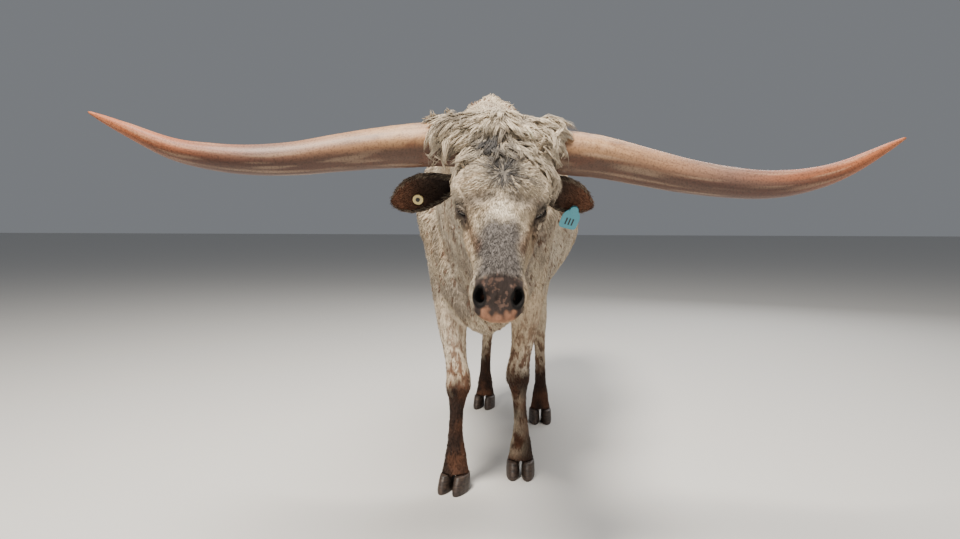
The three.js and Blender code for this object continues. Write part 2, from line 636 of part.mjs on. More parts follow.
// A flat, tapered lock of hair: four-sided sections from a root sunk in what it grows from to a
// tip, bending from one direction to another.
function lock(root, outward, lie, length, width, thick, lift, curl) {
  const steps = 3;
  const rings = [];
  const flat = lie.clone().addScaledVector(outward, -lie.dot(outward)).normalize();
  const across = outward.clone().cross(flat).normalize();
  let point = root.clone().addScaledVector(outward, -thick * 1.6).addScaledVector(flat, -length * 0.1);
  for (let i = 0; i <= steps; i++) {
    const t = i / steps;
    const rise = lift * (1 - 1.7 * t);
    const direction = flat.clone().multiplyScalar(Math.cos(rise)).addScaledVector(outward, Math.sin(rise));
    direction.addScaledVector(across, curl * t).normalize();
    const normal = across.clone().cross(direction).normalize().negate();
    const w = width * (i === 0 ? 0.8 : Math.max(0.12, 1 - t ** 2.2));
    const h = thick * (1 - 0.75 * t);
    rings.push([
      point.clone().addScaledVector(across, w / 2),
      point.clone().addScaledVector(normal, h / 2),
      point.clone().addScaledVector(across, -w / 2),
      point.clone().addScaledVector(normal, -h / 2),
    ]);
    point = point.clone().addScaledVector(direction, (length * 1.1) / steps);
  }
  return loft(rings);
}

// Poll: the shaggy crown between the horns. A core bolster with locks that part in the middle and
// sweep out to each horn.
function poll() {
  const rings = [];
  for (let i = 0; i <= 12; i++) {
    const x = -150 + 25 * i;
    const end = Math.sqrt(Math.max(0.05, 1 - (Math.abs(x) / 162) ** 4));
    const peak = 16 * Math.exp(-((x / 60) ** 2));
    const sizes = {
      half: 58 * end,
      up: (54 + peak) * end,
      down: 62 * end,
      roundUp: 2.2,
      roundDown: 2.2,
    };
    rings.push(ring(new THREE.Vector3(x, -6, 18), Y, Z, sizes, 18));
  }
  const core = loft(rings);
  const pieces = [core];
  for (let row = 0; row < 6; row++) {
    const around = THREE.MathUtils.degToRad(-52 + row * 33);
    for (let k = 0; k < 8; k++) {
      const x = -126 + 34 * k + draw(-7, 7) + (row % 2 ? 11 : -5);
      const side = x >= 0 ? 1 : -1;
      const angle = around + draw(-0.14, 0.14);
      const outward = new THREE.Vector3(0, -Math.cos(angle), Math.sin(angle)).normalize();
      const peak = 14 * Math.exp(-((x / 60) ** 2));
      const rootPoint = new THREE.Vector3(x, -6 - Math.cos(angle) * 56, 18 + Math.sin(angle) * (52 + peak));
      const down = new THREE.Vector3(0, -Math.sin(angle), -Math.cos(angle)).multiplyScalar(draw(0.1, 0.75));
      const lie = new THREE.Vector3(side * Math.min(1, 0.35 + Math.abs(x) / 80), 0, 0).add(down);
      const curl = side * draw(-0.6, 0.4);
      pieces.push(lock(rootPoint, outward, lie, draw(50, 74), draw(17, 24), 15, draw(0.5, 0.85), curl));
    }
  }
  return moved(join(pieces), CROWN);
}

// Tail: from the end of the spine over the rump and straight down, ending in a switch of long hair.
const TAIL_LINE = new THREE.CatmullRomCurve3([
  new THREE.Vector3(0, 1290, HIPS - 30),
  new THREE.Vector3(0, 1372, HIPS - 42),
  new THREE.Vector3(0, 1428, HIPS - 120),
  new THREE.Vector3(2, 1440, HIPS - 320),
  new THREE.Vector3(8, 1428, HIPS - 560),
  new THREE.Vector3(14, 1412, HIPS - 800),
]);
const TAIL = [
  { at: 0, radius: 40 },
  { at: 0.2, radius: 34 },
  { at: 0.4, radius: 26 },
  { at: 0.7, radius: 20 },
  { at: 1, radius: 15 },
];
const SWITCH_TOP = new THREE.Vector3(14, 1412, HIPS - 800);
const SWITCH_LENGTH = 340;
const TAIL_RINGS = 15;

function tail() {
  const rings = [];
  for (let i = 0; i <= TAIL_RINGS; i++) {
    const t = i / TAIL_RINGS;
    const forward = TAIL_LINE.getTangentAt(t);
    const rise = X.clone().cross(forward).normalize();
    const radius = sizeAt(TAIL, "radius", t);
    rings.push(ring(TAIL_LINE.getPointAt(t), X, rise, { half: radius, up: radius, down: radius }, 10));
  }
  return loft(rings).intersect(
    block(new THREE.Vector3(-200, 900, SWITCH_TOP.z + 4), new THREE.Vector3(200, 1700, 2000)),
  );
}

function tailSwitch() {
  const core = loft(
    Array.from({ length: 8 }, (_, i) => {
      const t = i / 7;
      const radius = 15 + 13 * Math.sin(Math.PI * Math.min(1, t * 1.15)) - 10 * t;
      const centre = SWITCH_TOP.clone().add(new THREE.Vector3(2 * t, -6 * t, 4 - GAP - SWITCH_LENGTH * 0.72 * t));
      return ring(centre, X, Y, { half: radius, up: radius, down: radius }, 12);
    }),
  );
  const locks = [];
  for (let tier = 0; tier < 5; tier++)
    for (let k = 0; k < 5; k++) {
      const angle = (2 * Math.PI * (k + 0.5 * (tier % 2))) / 5 + draw(-0.2, 0.2);
      const t = 0.1 + tier * 0.16;
      const radius = 13 + 9 * Math.sin(Math.PI * Math.min(1, t * 1.15)) - 6 * t;
      const outward = new THREE.Vector3(Math.cos(angle), Math.sin(angle), 0);
      const rootPoint = SWITCH_TOP.clone()
        .addScaledVector(outward, radius)
        .add(new THREE.Vector3(0, 0, -SWITCH_LENGTH * 0.72 * t));
      const left = SWITCH_LENGTH * (1 - 0.72 * t);
      const length = Math.min(draw(120, 160), left * 0.92);
      locks.push(lock(rootPoint, outward, Z.clone().negate(), length, draw(17, 22), 8, 0.26, draw(-0.15, 0.15)));
    }
  return join([core, ...locks]);
}

// Ear tags: a round button in the right ear, and a hanging plate with its stud in the left.
function disc(radius, thick, matrix) {
  const outline = [
    new THREE.Vector2(0, -thick / 2),
    new THREE.Vector2(radius - 0.8, -thick / 2),
    new THREE.Vector2(radius, -thick / 2 + 0.8),
    new THREE.Vector2(radius, thick / 2 - 0.8),
    new THREE.Vector2(radius - 0.8, thick / 2),
    new THREE.Vector2(0, thick / 2),
  ];
  return solidOf(new THREE.LatheGeometry(outline, 20), matrix);
}

function tagPlate(width, height, thick) {
  const corner = 11;
  const shape = new THREE.Shape();
  shape.moveTo(-width / 2 + corner, -height);
  shape.lineTo(width / 2 - corner, -height);
  shape.quadraticCurveTo(width / 2, -height, width / 2, -height + corner);
  shape.lineTo(width / 2, -26);
  shape.quadraticCurveTo(width / 2, -14, 11, 0);
  shape.quadraticCurveTo(10, 12, 0, 12);
  shape.quadraticCurveTo(-10, 12, -11, 0);
  shape.quadraticCurveTo(-width / 2, -14, -width / 2, -26);
  shape.lineTo(-width / 2, -height + corner);
  shape.quadraticCurveTo(-width / 2, -height, -width / 2 + corner, -height);
  return new THREE.ExtrudeGeometry(shape, { depth: thick, bevelEnabled: false, curveSegments: 4 });
}

const TAG = { along: 138, width: 50, height: 62, thick: 2.4 };
const BUTTON = { along: 112, radius: 14.5, thick: 5 };

function earButton() {
  const inEar = new THREE.Matrix4()
    .makeTranslation(BUTTON.along, -10, -20)
    .multiply(new THREE.Matrix4().makeRotationX(0.1));
  const stud = disc(BUTTON.radius, BUTTON.thick, earMatrix("right").multiply(inEar));
  return stud;
}

function earTag() {
  const inEar = new THREE.Matrix4().makeTranslation(TAG.along, -16, -34);
  const plate = solidOf(
    tagPlate(TAG.width, TAG.height, TAG.thick),
    new THREE.Matrix4().makeRotationX(Math.PI / 2),
  );
  const stud = disc(12, 8, new THREE.Matrix4().makeTranslation(0, -2, 0));
  return moved(join([plate, stud]), earMatrix("left").multiply(inEar));
}

// Make every part, largest first, and cut each back from the ones it meets.
const torsoCore = join([trunk(0), ...LEGS.map((leg) => upperLeg(leg, 0))]);
const torsoGrown = join([trunk(GAP * 1.6), ...LEGS.map((leg) => upperLeg(leg, GAP * 1.6))]);
const neckWhole = neckLoft();
addNode("torso", join([torsoCore, neckWhole.intersect(shoulderSide(false))]), COLOURS.cream);

const headGrown = moved(headForm(GAP * 1.6), SKULL);
const headSolid = moved(head(), SKULL);
const neckSolid = cutAway(neckWhole.intersect(shoulderSide(true)), [torsoGrown, headGrown]);
addNode("neck", neckSolid, COLOURS.cream);

for (const leg of LEGS) {
  addNode("leg_" + leg.name, cutAway(lowerLeg(leg), [trunk(GAP * 1.6)]), COLOURS.brown);
  addNode("hoof_" + leg.name + "_outer", claw(leg, leg.side), COLOURS.hoof, 0.6);
  addNode("hoof_" + leg.name + "_inner", claw(leg, -leg.side), COLOURS.hoof, 0.6);
}

const hornsGrown = ["left", "right"].map((which) => horn(which, GAP * 1.5));
addNode("head", cutAway(headSolid, hornsGrown), COLOURS.grey);
for (const which of ["left", "right"]) {
  const side = which === "left" ? 1 : -1;
  addNode("horn_" + which, horn(which, 0), COLOURS.horn, 0.45);
  const eye = ellipsoid(side * EYE.x, -EYE.u, EYE.z, EYE.radius, EYE.radius, EYE.radius);
  addNode("eye_" + which, moved(eye, SKULL), COLOURS.eye, 0.1);
  addNode("ear_" + which, cutAway(placedEar(which, 0), [headGrown, ...hornsGrown]), COLOURS.brown);
}
const pollTools = [
  headGrown,
  ...hornsGrown,
  placedEar("left", GAP * 1.5),
  placedEar("right", GAP * 1.5),
  neckWhole,
];
addNode("poll", cutAway(poll(), pollTools), COLOURS.cream);

addNode("tail", cutAway(tail(), [torsoGrown]), COLOURS.cream);
addNode("tail_switch", tailSwitch(), COLOURS.grey);
addNode("ear_button", cutAway(earButton(), [placedEar("right", GAP)]), COLOURS.yellow, 0.4);
addNode("ear_tag", cutAway(earTag(), [placedEar("left", GAP)]), COLOURS.teal, 0.4);

// The part's origin is under the middle of its bounding box, on the floor.
const bounds = new THREE.Box3().setFromObject(animal);
const middle = bounds.getCenter(new THREE.Vector3());
animal.position.set(-middle.x, -middle.y, -bounds.min.z);
const root = new THREE.Group().add(animal);

export default root;
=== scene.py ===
# %% [markdown]
# # A Texas longhorn steer
#
# The animal stands facing the camera with its head lowered, its horns level and its coat short
# everywhere but on the poll and at the end of the tail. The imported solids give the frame, in
# metres: the head points along -Y, +X is the animal's left and the floor is at Z = 0.
#
# The plan: one skin over all the flesh, shaped with swellings, folds and grooves; markings worked
# out from places on the body; a coat of solid tufts that carries the same markings; then the eyes,
# ears, horns, hooves and ear tags as pieces of their own. The skin comes first because the hair
# grows on it: where it is wrong, everything after it is wrong too.

import json
import math

import bmesh
import bpy
import numpy as np
from mathutils import Matrix, Vector

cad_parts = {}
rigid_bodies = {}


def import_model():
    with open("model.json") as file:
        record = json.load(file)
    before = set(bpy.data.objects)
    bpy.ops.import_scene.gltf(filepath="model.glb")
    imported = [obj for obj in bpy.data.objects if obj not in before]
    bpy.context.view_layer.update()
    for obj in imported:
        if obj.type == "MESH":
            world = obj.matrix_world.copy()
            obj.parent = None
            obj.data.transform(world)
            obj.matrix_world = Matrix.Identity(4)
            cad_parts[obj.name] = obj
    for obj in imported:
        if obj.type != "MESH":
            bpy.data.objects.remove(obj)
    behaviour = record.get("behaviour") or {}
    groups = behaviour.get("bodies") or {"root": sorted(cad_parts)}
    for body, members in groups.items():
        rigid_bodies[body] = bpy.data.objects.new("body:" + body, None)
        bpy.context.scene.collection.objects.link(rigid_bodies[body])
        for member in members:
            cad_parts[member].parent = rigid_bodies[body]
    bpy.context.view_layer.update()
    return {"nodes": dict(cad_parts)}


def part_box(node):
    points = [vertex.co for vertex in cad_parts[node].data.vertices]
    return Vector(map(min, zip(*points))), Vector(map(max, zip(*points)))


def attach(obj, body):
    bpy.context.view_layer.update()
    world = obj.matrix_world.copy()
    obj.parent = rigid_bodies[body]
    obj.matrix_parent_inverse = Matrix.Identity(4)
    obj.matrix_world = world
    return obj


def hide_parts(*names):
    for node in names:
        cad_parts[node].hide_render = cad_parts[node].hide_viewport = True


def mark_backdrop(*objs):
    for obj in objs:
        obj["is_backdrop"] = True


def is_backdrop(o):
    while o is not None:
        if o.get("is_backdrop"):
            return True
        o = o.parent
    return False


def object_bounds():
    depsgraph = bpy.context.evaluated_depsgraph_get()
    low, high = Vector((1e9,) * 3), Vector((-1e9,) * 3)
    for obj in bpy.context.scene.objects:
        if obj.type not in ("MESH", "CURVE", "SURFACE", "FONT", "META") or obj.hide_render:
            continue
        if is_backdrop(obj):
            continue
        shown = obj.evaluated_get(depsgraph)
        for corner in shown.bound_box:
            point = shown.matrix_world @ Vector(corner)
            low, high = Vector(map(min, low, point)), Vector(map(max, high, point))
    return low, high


for default in list(bpy.data.objects):
    bpy.data.objects.remove(default)
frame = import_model()
nodes = frame["nodes"]
rng = np.random.default_rng(11)

# %% [markdown]
# ## Frames for the head
#
# The crown's frame has its origin on the line that joins the horn bases; its X runs out along the
# left horn. The skull's frame is tipped down by the slope of the face: in it -Y runs down the face
# to the nose, and +Z stands out of the forehead. The eyes of the solids fix where both lie.
#
# One could give every place in the room's own axes, but a lowered, turned head is hard to think
# about that way. In its own frame it is symmetrical, so that one half describes both.

# %% Head frames
MM = 0.001


def turn(axis, degrees):
    return np.array(Matrix.Rotation(math.radians(degrees), 3, axis))


CROWN_TURN = turn("Z", 6.5) @ turn("Y", 1.9)
SKULL_TURN = CROWN_TURN @ turn("X", 47)
FACE_START = np.array([14, -10, 58]) * MM
EYE = np.array([88, -254, -64]) * MM
EYE_RADIUS = 20.5 * MM
LID_THICKNESS = 3.0 * MM
COAT_DEPTH = 4.0 * MM

eye_boxes = [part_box("eye_left"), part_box("eye_right")]
eye_middle = np.mean([(np.array(a) + np.array(b)) / 2 for a, b in eye_boxes], axis=0)
between_eyes = np.array([0, EYE[1], EYE[2]])
POLL = eye_middle - CROWN_TURN @ FACE_START - SKULL_TURN @ between_eyes
SKULL = POLL + CROWN_TURN @ FACE_START
BODY = POLL - np.array([106, -736, 1171]) * MM  # floor under the middle of the front feet


def to_skull(points):
    return (points - SKULL) @ SKULL_TURN


def from_skull(points):
    return np.asarray(points) @ SKULL_TURN.T + SKULL


def from_crown(points):
    return np.asarray(points) @ CROWN_TURN.T + POLL


def folded(local):
    """Places in the skull's frame with the right half of the head laid on the left."""
    return np.column_stack([np.abs(local[:, 0]), local[:, 1], local[:, 2]])


print("poll at", POLL.round(3), "body origin at", BODY.round(3))

# %% [markdown]
# ## Helpers
#
# A hide has some hundred thousand points, so meshes pass between Blender and numpy as arrays; a
# loop over vertices would take minutes. A modifier is run once and its result kept, so that the
# next step can measure it.


# %% Meshes as arrays
def positions(mesh):
    flat = np.empty(len(mesh.vertices) * 3, np.float32)
    mesh.vertices.foreach_get("co", flat)
    return flat.reshape(-1, 3).astype(float)


def set_positions(mesh, points):
    mesh.vertices.foreach_set("co", np.asarray(points, np.float32).ravel())
    mesh.update()


def vertex_normals(mesh):
    flat = np.empty(len(mesh.vertices) * 3, np.float32)
    mesh.vertex_normals.foreach_get("vector", flat)
    return flat.reshape(-1, 3).astype(float)


def triangles(mesh):
    mesh.calc_loop_triangles()
    flat = np.empty(len(mesh.loop_triangles) * 3, np.int32)
    mesh.loop_triangles.foreach_get("vertices", flat)
    return flat.reshape(-1, 3)


def modified(obj, kind, **settings):
    """Runs one modifier and keeps its result as the object's mesh."""
    modifier = obj.modifiers.new(kind.title(), kind)
    for key, value in settings.items():
        setattr(modifier, key, value)
    graph = bpy.context.evaluated_depsgraph_get()
    old = obj.data
    mesh = bpy.data.meshes.new_from_object(obj.evaluated_get(graph))
    obj.modifiers.clear()
    obj.data = mesh
    bpy.data.meshes.remove(old)


def weight_group(obj, name, weights):
    """A vertex group with one weight for each point, rounded to twentieths."""
    group = obj.vertex_groups.new(name=name)
    levels = np.clip(np.round(weights * 20) / 20, 0, 1)
    for level in np.unique(levels):
        if level > 0:
            group.add(np.nonzero(levels == level)[0].tolist(), float(level), "REPLACE")


def shade_smooth(obj):
    obj.data.polygons.foreach_set("use_smooth", [True] * len(obj.data.polygons))
    obj.data.update()


# %% [markdown]
# Horns and ears are long forms whose section changes along the way. A stack of rings joined by
# faces gives full control of each section, where a bevelled curve would give only its thickness.


# %% Pieces and lofts
def loft(rings):
    """Vertices and faces of a skin over rings of equal counts, its ends closed."""
    count, steps = len(rings[0]), len(rings)
    vertices = np.concatenate([*rings, [np.mean(rings[0], axis=0)], [np.mean(rings[-1], axis=0)]])
    faces = []
    for r in range(steps - 1):
        for i in range(count):
            j = (i + 1) % count
            faces.append([r * count + i, r * count + j, (r + 1) * count + j, (r + 1) * count + i])
    first, last = len(vertices) - 2, len(vertices) - 1
    top = (steps - 1) * count
    for i in range(count):
        j = (i + 1) % count
        faces.append([j, i, first])
        faces.append([top + i, top + j, last])
    return vertices, faces


def put_in_scene(name, data):
    obj = bpy.data.objects.new(name, data)
    bpy.context.scene.collection.objects.link(obj)
    return obj


def add_piece(name, vertices, faces):
    mesh = bpy.data.meshes.new(name)
    mesh.from_pydata([tuple(v) for v in vertices], [], faces)
    bm = bmesh.new()
    bm.from_mesh(mesh)
    bmesh.ops.recalc_face_normals(bm, faces=bm.faces)
    bm.to_mesh(mesh)
    bm.free()
    obj = put_in_scene(name, mesh)
    shade_smooth(obj)
    return obj


# %% [markdown]
# Swellings and markings are all made from a few numbers worked out at each place: a fade between
# two levels, a bump about a point, the distance from a line, and noise. The noise is a smoothed
# lattice of hashed numbers. Blender's own textures can't be read at a place from a script, and skin
# and coat must get the same markings from their places alone.


# %% Fades, lines and noise
def smoothstep(low, high, x):
    """0 at low, 1 at high and a smooth rise between, whichever of the two is larger."""
    t = np.clip((x - low) / (high - low), 0, 1)
    return t * t * (3 - 2 * t)


def unit(vectors):
    return vectors / np.maximum(np.linalg.norm(vectors, axis=-1, keepdims=True), 1e-9)


TWIST = np.array(Matrix.Rotation(0.9, 3, Vector((1, 2, 3))) @ Matrix.Rotation(0.6, 3, "X"))


def noise(points, size, seed=0):
    """Smooth noise from 0 to 1 whose lumps are about size across."""
    p = np.asarray(points) @ TWIST / size + seed * 17.31
    cell = np.floor(p).astype(np.int64)
    f = p - cell
    f = f * f * (3 - 2 * f)
    total = np.zeros(len(p))
    for corner in range(8):
        step = np.array([corner & 1, corner >> 1 & 1, corner >> 2 & 1])
        c = cell + step
        h = c[:, 0] * 374761393 + c[:, 1] * 668265263 + c[:, 2] * 2147483647 + seed * 97
        h = (h ^ (h >> 13)) * 1274126177 & 0x7FFFFFFF
        h = (h ^ (h >> 16)) % 65536 / 65535
        total += h * np.prod(np.where(step, f, 1 - f), axis=1)
    return total


def bump(distance, reach):
    """1 at no distance, fading to 0 at reach."""
    return (1 - np.clip(distance / reach, 0, 1) ** 2) ** 2


def from_line(points, line):
    """Distance of each point from a chain of straight pieces, and how far along it that is."""
    best = np.full(len(points), 1e9)
    along = np.zeros(len(points))
    line = np.asarray(line, float)
    for k in range(len(line) - 1):
        a, b = line[k], line[k + 1]
        t = np.clip((points - a) @ (b - a) / ((b - a) @ (b - a)), 0, 1)
        d = np.linalg.norm(points - a - t[:, None] * (b - a), axis=1)
        along = np.where(d < best, (k + t) / (len(line) - 1), along)
        best = np.minimum(best, d)
    return best, along


# %% [markdown]
# ## One skin over the flesh
#
# An animal has no seams where its neck meets its shoulders. Copies of the solids for trunk, neck,
# head, legs and tail are joined with a bolster under the poll's hair and a ball about each eye, and
# remeshed into one closed surface. Boolean joins would keep the same outline, but they leave sharp
# creases and uneven faces; a voxel remesh gives even faces that can be smoothed and pushed about.

# %% Join the flesh
FLESH = [
    "torso",
    "neck",
    "head",
    "leg_front_left",
    "leg_front_right",
    "leg_hind_left",
    "leg_hind_right",
    "tail",
]
VOXEL = 0.0045

bolster = []
for k in range(13):
    x = -150 + 25 * k
    end = math.sqrt(max(0.05, 1 - (abs(x) / 162) ** 4))
    peak = 16 * math.exp(-((x / 60) ** 2))
    ring = []
    for i in range(24):
        c, s = math.cos(math.tau * i / 24), math.sin(math.tau * i / 24)
        height = (56 + peak if s > 0 else 56) * end * s
        ring.append([x, -6 + 58 * end * c, 18 + height])
    bolster.append(from_crown(np.array(ring) * MM))

body = bmesh.new()
for name in FLESH:
    body.from_mesh(nodes[name].data)
bolster_points, bolster_faces = loft(bolster)
corners = [body.verts.new(p) for p in bolster_points]
for face in bolster_faces:
    body.faces.new([corners[i] for i in face])
for sign in (-1, 1):
    place = Matrix.Translation(from_skull(EYE * [sign, 1, 1]))
    bmesh.ops.create_uvsphere(
        body, u_segments=32, v_segments=20, radius=EYE_RADIUS + LID_THICKNESS + COAT_DEPTH, matrix=place
    )
bmesh.ops.recalc_face_normals(body, faces=body.faces)
mesh = bpy.data.meshes.new("skin")
body.to_mesh(mesh)
body.free()
skin = put_in_scene("skin", mesh)
modified(skin, "REMESH", mode="VOXEL", voxel_size=VOXEL)
print("skin remeshed:", len(skin.data.polygons), "faces")

# %% [markdown]
# The remesh may leave closed bubbles inside, where solids overlapped. Only the outer surface is
# kept. Then the facets of the solids are smoothed away, most on the trunk and least on the face and
# the lower legs, whose forms are small and must not shrink.


# %% Keep the outside and smooth it
def keep_largest_island(obj):
    """Deletes all of a mesh but its largest connected part, and counts the parts."""
    bm = bmesh.new()
    bm.from_mesh(obj.data)
    bm.verts.ensure_lookup_table()
    seen = np.zeros(len(bm.verts), bool)
    islands = []
    for start in bm.verts:
        if seen[start.index]:
            continue
        stack, island = [start], []
        seen[start.index] = True
        while stack:
            v = stack.pop()
            island.append(v)
            for edge in v.link_edges:
                other = edge.other_vert(v)
                if not seen[other.index]:
                    seen[other.index] = True
                    stack.append(other)
        islands.append(island)
    islands.sort(key=len)
    for island in islands[:-1]:
        bmesh.ops.delete(bm, geom=island, context="VERTS")
    bm.to_mesh(obj.data)
    bm.free()
    return len(islands)


print("islands found:", keep_largest_island(skin))
in_skull = to_skull(positions(skin.data))
near_face = smoothstep(-0.06, 0.1, -in_skull[:, 1]) * smoothstep(0.3, 0.16, np.abs(in_skull[:, 0]))
near_face *= smoothstep(-0.34, -0.24, in_skull[:, 2])
height = positions(skin.data)[:, 2]
fine = np.maximum(near_face, smoothstep(0.62, 0.45, height) * 0.75)
weight_group(skin, "coarse", 1 - fine)
modified(skin, "SMOOTH", factor=0.6, iterations=45, vertex_group="coarse")
modified(skin, "SMOOTH", factor=0.5, iterations=4)
print("skin smoothed")

# %% [markdown]
# ## Form under the coat
#
# Eyelids and nostrils are a few millimetres thick, finer than the skin's faces. Only the skin about
# them is divided again, twice over at the rims: dividing all of it would spend the faces on the
# flanks, where nothing is small.

# %% Divide the small forms more finely
NOSTRIL = np.array([40, -501, -69]) * MM


def mirrored(point):
    return [np.array([side * point[0], point[1], point[2]]) for side in (-1, 1)]


def divide_near(obj, centres, reach):
    """Divides the edges that start within reach of places given in the skull's frame."""
    bm = bmesh.new()
    bm.from_mesh(obj.data)
    spots = [Vector(from_skull(c)) for c in centres]
    edges = [e for e in bm.edges if any((e.verts[0].co - s).length < reach for s in spots)]
    bmesh.ops.subdivide_edges(bm, edges=edges, cuts=1, use_grid_fill=True)
    bmesh.ops.triangulate(bm, faces=[f for f in bm.faces if len(f.verts) > 4])
    bm.to_mesh(obj.data)
    bm.free()


eyes_and_nostrils = mirrored(EYE + np.array([12, 0, 0]) * MM) + mirrored(NOSTRIL)
divide_near(skin, eyes_and_nostrils + [np.array([0, -480, -90]) * MM], 0.075)
divide_near(skin, eyes_and_nostrils, 0.045)
in_skull = to_skull(positions(skin.data))
from_rim = [np.linalg.norm(in_skull - c, axis=1) for c in eyes_and_nostrils]
weight_group(skin, "rims", bump(np.min(from_rim, axis=0), 0.05))
modified(skin, "SMOOTH", factor=0.5, iterations=14, vertex_group="rims")
skin.vertex_groups.clear()
print("skin divided:", len(skin.data.polygons), "faces")

# %% [markdown]
# Bones show through a lean animal's hide: the edge of the shoulder blade, the ribs, the hip bones
# and the hollow before them, and soft folds hang at the throat. They could be sculpted; here each is
# a push along the surface's own normals that fades with distance, so it can be run again and
# measured. First the skin is drawn in by the depth of the coat.


# %% Body forms
def body_point(x, y, z):
    return np.array([x, y, z]) * MM + BODY


def press(points, normals, centre, reach, height):
    """Raises, or with a height below 0 sinks, the surface about a place."""
    d = np.linalg.norm((points - centre) / np.asarray(reach), axis=1)
    return normals * (bump(d, 1) * height)[:, None]


points = positions(skin.data)
normals = vertex_normals(skin.data)
in_skull = to_skull(points)
muzzle = smoothstep(0.34, 0.45, -in_skull[:, 1]) * (np.abs(in_skull[:, 0]) < 0.1)
muzzle *= in_skull[:, 2] > -0.2
points -= normals * (COAT_DEPTH * (1 - 0.85 * muzzle))[:, None]
change = np.zeros_like(points)
for side in (-1, 1):
    blade = [body_point(side * 150, 90, 1340), body_point(side * 215, -40, 1130)]
    d, _ = from_line(points, [*blade, body_point(side * 235, -120, 940)])
    change += normals * (bump(d, 0.07) * 0.010)[:, None]
    d, _ = from_line(points, [body_point(side * 190, 190, 1330), body_point(side * 260, 120, 900)])
    change -= normals * (bump(d, 0.08) * 0.009)[:, None]
    for k in range(9):
        y = 260 + 62 * k
        top = body_point(side * 230, y, 1290)
        middle = body_point(side * 330, y + 40, 1000)
        d, t = from_line(points, [top, middle, body_point(side * 270, y + 10, 760)])
        change += normals * (bump(d, 0.026) * 0.0035 * np.sin(np.pi * t))[:, None]
    change += press(points, normals, body_point(side * 245, 930, 1190), [0.12, 0.13, 0.12], -0.022)
    change += press(points, normals, body_point(side * 240, 1012, 1375), [0.07, 0.09, 0.07], 0.010)
    change += press(points, normals, body_point(side * 115, 1372, 1245), [0.06, 0.05, 0.06], 0.010)
    d, _ = from_line(points, [body_point(side * 60, -330, 1290), body_point(side * 205, -150, 1010)])
    change -= normals * (bump(d, 0.05) * 0.008)[:, None]
for k in range(5):
    y = -190 - 62 * k
    low = body_point(0.18 * -y, y, 700 + 0.55 * (-y - 190) + 35 * (k % 2))
    d, _ = from_line(points, [low + [-0.15, 0.05, 0.14], low, low + [0.15, 0.05, 0.14]])
    change -= normals * (bump(d, 0.022) * 0.007)[:, None]
set_positions(skin.data, points + change)
print("body forms: largest change", round(float(np.abs(change).max()) * 1000, 1), "mm")

# %% [markdown]
# The steer squints: each eye is a slit between heavy lids, with two folds above it and one below.
# The lids are made by drawing the skin on to a ball a little larger than the eyeball and
# sinking the slit through it, so that they fit the eye wherever it looks. Loose lids modelled apart
# would have to be matched to the face by hand.


# %% Eyelids
EYE_FACING = np.array([0.74, -0.42, 0.53])
EYE_ALONG = np.array([-0.50, -0.84, 0.10])
SLIT_HALF_LENGTH = 17.5 * MM
SLIT_HALF_HEIGHT = 3.4 * MM


def eye_axes(side):
    """Where one eye's lids face, the way its slit runs towards the nose, and the way up across it."""
    facing = unit(EYE_FACING * [side, 1, 1])
    along = EYE_ALONG * [side, 1, 1]
    along = unit(along - facing * (along @ facing))
    up = np.cross(along, facing)
    return facing, along, up if up[2] > 0 else -up


def shape_lids(local, side):
    """Closes lids over one eye but for a narrow slit, with folds above and below."""
    centre = EYE * np.array([side, 1, 1])
    facing, along, up = eye_axes(side)
    away = local - centre
    distance = np.linalg.norm(away, axis=1)
    direction = unit(away)
    s = direction @ along * EYE_RADIUS
    h = direction @ up * EYE_RADIUS + 0.12 * (s / SLIT_HALF_LENGTH) ** 2 * SLIT_HALF_HEIGHT
    front = direction @ facing
    half_open = SLIT_HALF_HEIGHT * np.sqrt(np.clip(1 - (s / SLIT_HALF_LENGTH) ** 2, 0, 1))
    opening = smoothstep(half_open + 0.0010, half_open - 0.0006, np.abs(h))
    opening *= (np.abs(s) < SLIT_HALF_LENGTH + 0.001) * (front > 0.3)
    rim = bump(np.abs(h) - half_open - 0.0020, 0.0026) * 0.0018 * (np.abs(s) < SLIT_HALF_LENGTH * 1.1)
    fold = bump(np.abs(h - 0.0115 - 0.1 * s), 0.0030) * -0.0030
    second = bump(np.abs(h - 0.0165 - 0.1 * s), 0.0030) * -0.0020
    lower_fold = bump(np.abs(h + 0.0110 + 0.1 * s), 0.0030) * -0.0024
    target = EYE_RADIUS + LID_THICKNESS + rim + fold + second + lower_fold
    shell = centre + direction * target[:, None]
    blend = smoothstep(0.25, 0.55, front) * smoothstep(0.034, 0.027, distance)
    moved = local + (shell - local) * blend[:, None]
    sunk = centre + direction * (EYE_RADIUS - 0.005)
    return moved + (sunk - moved) * (opening * blend)[:, None]


# %% [markdown]
# Under the hair of the face lie broad forms: cushions over the brows with a valley between them, a
# hollow below each eye, the cheek's edge and the swollen rims of the nose. Each is an ellipsoid of
# influence, given once for both sides.

